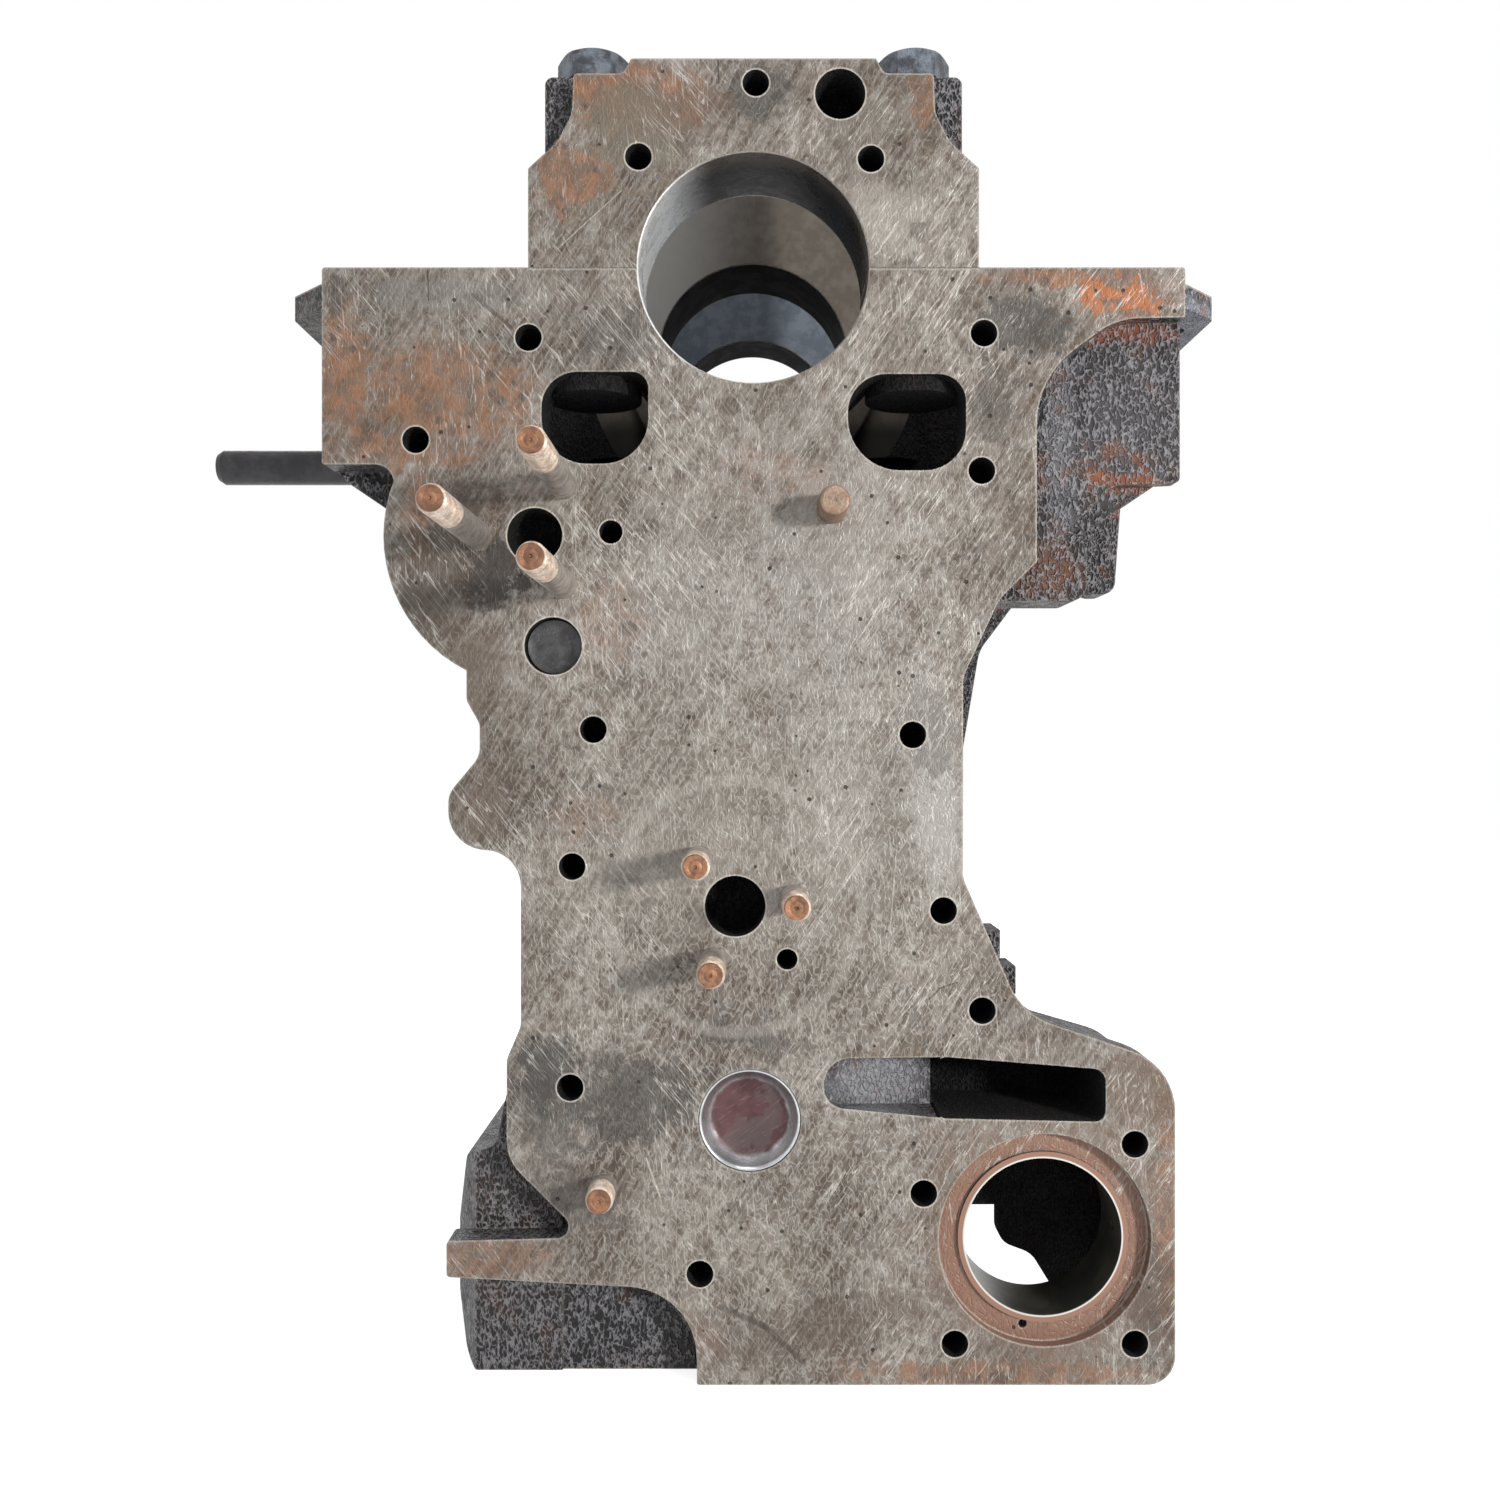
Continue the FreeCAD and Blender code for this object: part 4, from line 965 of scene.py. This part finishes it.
# ---- Studs of the front face ----
# Plain steel studs screwed into the block: three long ones round the upper idler's oil bore, three short
# ones round the lower, and one for a cover. Their outer ends are threaded and have gone copper-brown.
def stud_material():
    """Smooth grey shank, rusty tan thread and a copper-brown end."""
    made, tree, place = new_material("stud_steel")
    wear = add_node(tree, "Attribute", {"attribute_name": "thread"}).outputs["Fac"]
    end = add_node(tree, "Attribute", {"attribute_name": "end_face"}).outputs["Fac"]
    tinted = cloud(tree, place, 260.0, 0.36, 0.64)
    grain = cloud(tree, place, 1500.0, 0.34, 0.66)
    shank = blend(tree, tinted, srgb(172, 166, 160), srgb(214, 208, 202))
    thread = blend(tree, tinted, srgb(228, 214, 200), srgb(190, 166, 146))
    copper_end = blend(tree, tinted, srgb(164, 116, 84), srgb(112, 78, 60))
    colour = blend(tree, end, blend(tree, wear, shank, thread), copper_end)
    colour = blend(tree, times(tree, grain, 0.3), colour, srgb(104, 80, 64))
    normal = relief(tree, times(tree, grain, 0.00006))
    metal = arith(tree, "SUBTRACT", 0.75, times(tree, wear, 0.35))
    feeds = {"Base Color": colour, "Roughness": 0.42, "Metallic": metal, "Normal": normal}
    surface(tree, feeds)
    return made


stud_steel = stud_material()
stud_radius = 0.005
stud_core = 0.0048
stud_seat = 0.016
thread_pitch = 0.0015
thread_height = 0.0007
thread_share = 0.36
crest = 0.12
row_step = thread_pitch / 6
# The end face from its middle outwards: a centre dimple, a flat and a turned line, as (radius, depth).
end_rows = [
    (0.0, 0.0007),
    (0.0005, 0.0004),
    (0.0007, 0.0),
    (0.0021, 0.0),
    (0.0023, 0.00012),
    (0.0025, 0.0),
    (0.0041, 0.0),
]
end_chamfer = 0.0008
end_face_depth = 0.0009


def stud_form(centre, front, length):
    """One stud from its end face back to the bottom of its hole, with a helical thread at its front."""
    thread_rows = round(max(length * thread_share, 0.010) / row_step)
    profile = [(radius, front + depth) for radius, depth in end_rows]
    first_thread = len(profile)
    profile += [(stud_radius, front + end_chamfer + i * row_step) for i in range(thread_rows)]
    last_thread = len(profile)
    profile += [(stud_radius, front + 0.0014 + thread_rows * row_step), (stud_radius, 0.0)]
    profile += [(stud_core, 0.0), (stud_core, stud_seat), (0, stud_seat)]

    def threaded(row, angle, radius, height):
        if not first_thread <= row < last_thread:
            return radius, height
        turn = (height / thread_pitch - angle / (2 * math.pi)) % 1.0
        notch = max(0.0, abs(turn - 0.5) * 2 - crest) / (1 - crest)
        lead = min(1.0, (row - first_thread + 1) / 4, (last_thread - row) / 5)
        start = 0.0007 * max(0.0, 1 - (row - first_thread) / 4)
        return radius - start - thread_height * notch * lead, height

    form = lathe(profile, centre, "Y", 32, threaded)
    wear = form.verts.layers.float.new("thread")
    end = form.verts.layers.float.new("end_face")
    thread_end = front + thread_rows * row_step
    for vert in form.verts:
        vert[wear] = 1.0 if vert.co.y < thread_end else 0.0
        vert[end] = 1.0 if vert.co.y < front + end_face_depth else 0.0
    return form


for name in nodes:
    if "_stud" in name:
        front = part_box(name)[0].y
        dress(name, stud_form(axis_point(name, "Y"), front, -front), stud_steel, 60)


# ---- Timing case dowel ----
# A ground steel peg pressed into the block, that places the timing case. Its end has a rounded edge and has
# gone brown.
dowel_steel = steel("dowel_steel", (168, 144, 124), (142, 120, 104), (150, 104, 76), 0.5, 0.5, 0.4, 0.00006)
dowel_radius = 0.0055
dowel_front = -0.018
dowel_back = 0.014
dowel_profile = [
    (0, dowel_front + 0.0008),
    (0.0008, dowel_front),
    (dowel_radius - 0.0012, dowel_front),
    (dowel_radius - 0.0004, dowel_front + 0.0005),
    (dowel_radius, dowel_front + 0.0014),
    (dowel_radius, dowel_back),
    (0, dowel_back),
]
dress("timing_case_dowel", lathe(dowel_profile, axis_point("timing_case_dowel", "Y"), "Y", 48), dowel_steel)


# ---- Oil gallery plug ----
# A dull steel disc driven into the mouth of the main oil gallery, a few millimetres below the face.
plug_tones = ((80, 80, 82), (56, 56, 58), (76, 62, 54))
gallery_steel = steel("gallery_plug_steel", *plug_tones, 0.6, 0.6, 0.42, 0.00008)
plug_lowest, plug_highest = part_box("gallery_plug")
plug_front = plug_lowest.y
plug_back = plug_highest.y
plug_radius = (plug_highest.x - plug_lowest.x) / 2
gallery_profile = [
    (0, plug_front + 0.0002),
    (plug_radius * 0.45, plug_front + 0.0003),
    (plug_radius * 0.82, plug_front + 0.0008),
    (plug_radius * 0.88, plug_front + 0.0004),
    (plug_radius * 0.94, plug_front),
    (plug_radius, plug_front + 0.0006),
    (plug_radius, plug_back),
    (0, plug_back),
]
dress("gallery_plug", lathe(gallery_profile, axis_point("gallery_plug", "Y"), "Y", 64), gallery_steel, 60)


# ---- Core plugs ----
# Pressed steel cups that close the holes through which the water jacket's core was held. The front one has
# a bright drawn rim, and dark red sealant dried in its dish.
def cup_material(centre, floor_radius):
    """Bright steel with old sealant inside floor_radius of centre, which is in millimetres."""
    made, tree, place = new_material("core_plug_steel")
    reach = distance_from(tree, place, centre)
    frayed = cloud(tree, place, 210.0, 0.2, 0.8)
    reach = arith(tree, "ADD", reach, times(tree, frayed, 0.0012))
    sealed = remap(tree, reach, floor_radius + 0.0024, floor_radius - 0.0002)
    cloudy = cloud(tree, place, 90.0, 0.35, 0.65)
    patch = cloud(tree, place, 60.0, 0.5, 0.56)
    sealant = blend(tree, cloudy, srgb(60, 28, 34), srgb(88, 54, 57))
    sealant = blend(tree, times(tree, patch, 0.6), sealant, srgb(86, 76, 74))
    bare = blend(tree, cloudy, srgb(176, 178, 180), srgb(206, 208, 210))
    colour = blend(tree, sealed, bare, sealant)
    scuff_feeds = {"Vector": place, "Turn": 0.6, "Scale": 620.0, "Width": 0.012}
    scuffs = use_group(tree, scratches, scuff_feeds)["Mask"]
    colour = blend(tree, times(tree, scuffs, 0.3), colour, srgb(150, 140, 136))
    metal = arith(tree, "SUBTRACT", 0.95, times(tree, sealed, 0.75))
    roughness = arith(tree, "ADD", times(tree, sealed, 0.25), 0.24)
    surface(tree, {"Base Color": colour, "Roughness": roughness, "Metallic": metal})
    return made


cup_lowest, cup_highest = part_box("front_core_plug")
cup_centre = axis_point("front_core_plug", "Y")
cup_front = cup_lowest.y
cup_back = cup_highest.y
cup_radius = (cup_highest.x - cup_lowest.x) / 2
cup_floor_radius = cup_radius - 0.0045
cup_profile = [
    (0, cup_back - 0.0026),
    (cup_floor_radius * 0.5, cup_back - 0.0027),
    (cup_floor_radius - 0.0014, cup_back - 0.0029),
    (cup_floor_radius, cup_back - 0.0034),
    (cup_floor_radius + 0.0010, cup_back - 0.0046),
    (cup_radius - 0.0016, cup_front + 0.0014),
    (cup_radius - 0.0010, cup_front + 0.0003),
    (cup_radius - 0.0005, cup_front),
    (cup_radius, cup_front + 0.0004),
    (cup_radius, cup_back),
    (0, cup_back),
]
cup_steel = cup_material((cup_centre.x * 1000, cup_centre.z * 1000), cup_floor_radius)
dress("front_core_plug", lathe(cup_profile, cup_centre, "Y", 96), cup_steel, 75)
side_cup_tones = ((150, 150, 150), (120, 116, 112), (124, 90, 70))
side_cup_steel = steel("side_core_plug_steel", *side_cup_tones, 0.5, 0.8, 0.35, 0.00006)
paint(["side_core_plug_1", "side_core_plug_2"], side_cup_steel)


# ---- Water pump bush ----
# A steel-backed bush pressed into the pump's bore behind the copper-brown seat, with an oil slot at its
# right. Its front edge is rubbed bright.
def bush_material():
    """Dull grey wall, with a bright ring inside a copper-brown one at the front."""
    made, tree, place = new_material("bush_steel")
    axis = add_node(tree, "SeparateXYZ", feeds={0: place}).outputs
    rim = remap(tree, axis["Y"], 0.0046, 0.0038)
    inner_edge = remap(tree, distance_from(tree, place, pump_centre), 0.0296, 0.0292)
    cloudy = cloud(tree, place, 70.0, 0.36, 0.64)
    wall = blend(tree, cloudy, srgb(84, 84, 78), srgb(112, 108, 98))
    front_ring = blend(tree, inner_edge, srgb(*copper), srgb(206, 204, 198))
    colour = blend(tree, rim, wall, front_ring)
    feeds = {"Base Color": colour, "Roughness": 0.34, "Metallic": 0.7}
    surface(tree, feeds)
    return made


paint(["pump_bush"], bush_material())


# ---- Side rod ----
# A blackened steel rod that stands out of the left skirt, under the rail. Its end is turned to a chamfer.
rod_steel = steel("rod_steel", (62, 61, 64), (48, 47, 50), (92, 66, 54), 0.6, 0.6, 0.4, 0.00006)
rod_lowest, rod_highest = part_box("side_rod")
rod_left = rod_lowest.x
rod_right = rod_highest.x
rod_radius = (rod_highest.y - rod_lowest.y) / 2
rod_profile = [
    (0, rod_left + 0.0006),
    (rod_radius - 0.0022, rod_left),
    (rod_radius - 0.0014, rod_left + 0.0002),
    (rod_radius, rod_left + 0.0024),
    (rod_radius, rod_right),
    (0, rod_right),
]
dress("side_rod", lathe(rod_profile, axis_point("side_rod", "X"), "X", 48), rod_steel)


# ---- Deck and rear dowels ----
# Ground steel: two ring dowels sunk in the deck for the cylinder head, and two pegs in the rear face for
# the flywheel housing.
paint(["deck_dowel_1", "deck_dowel_2", "rear_dowel_left", "rear_dowel_right"], dowel_steel)
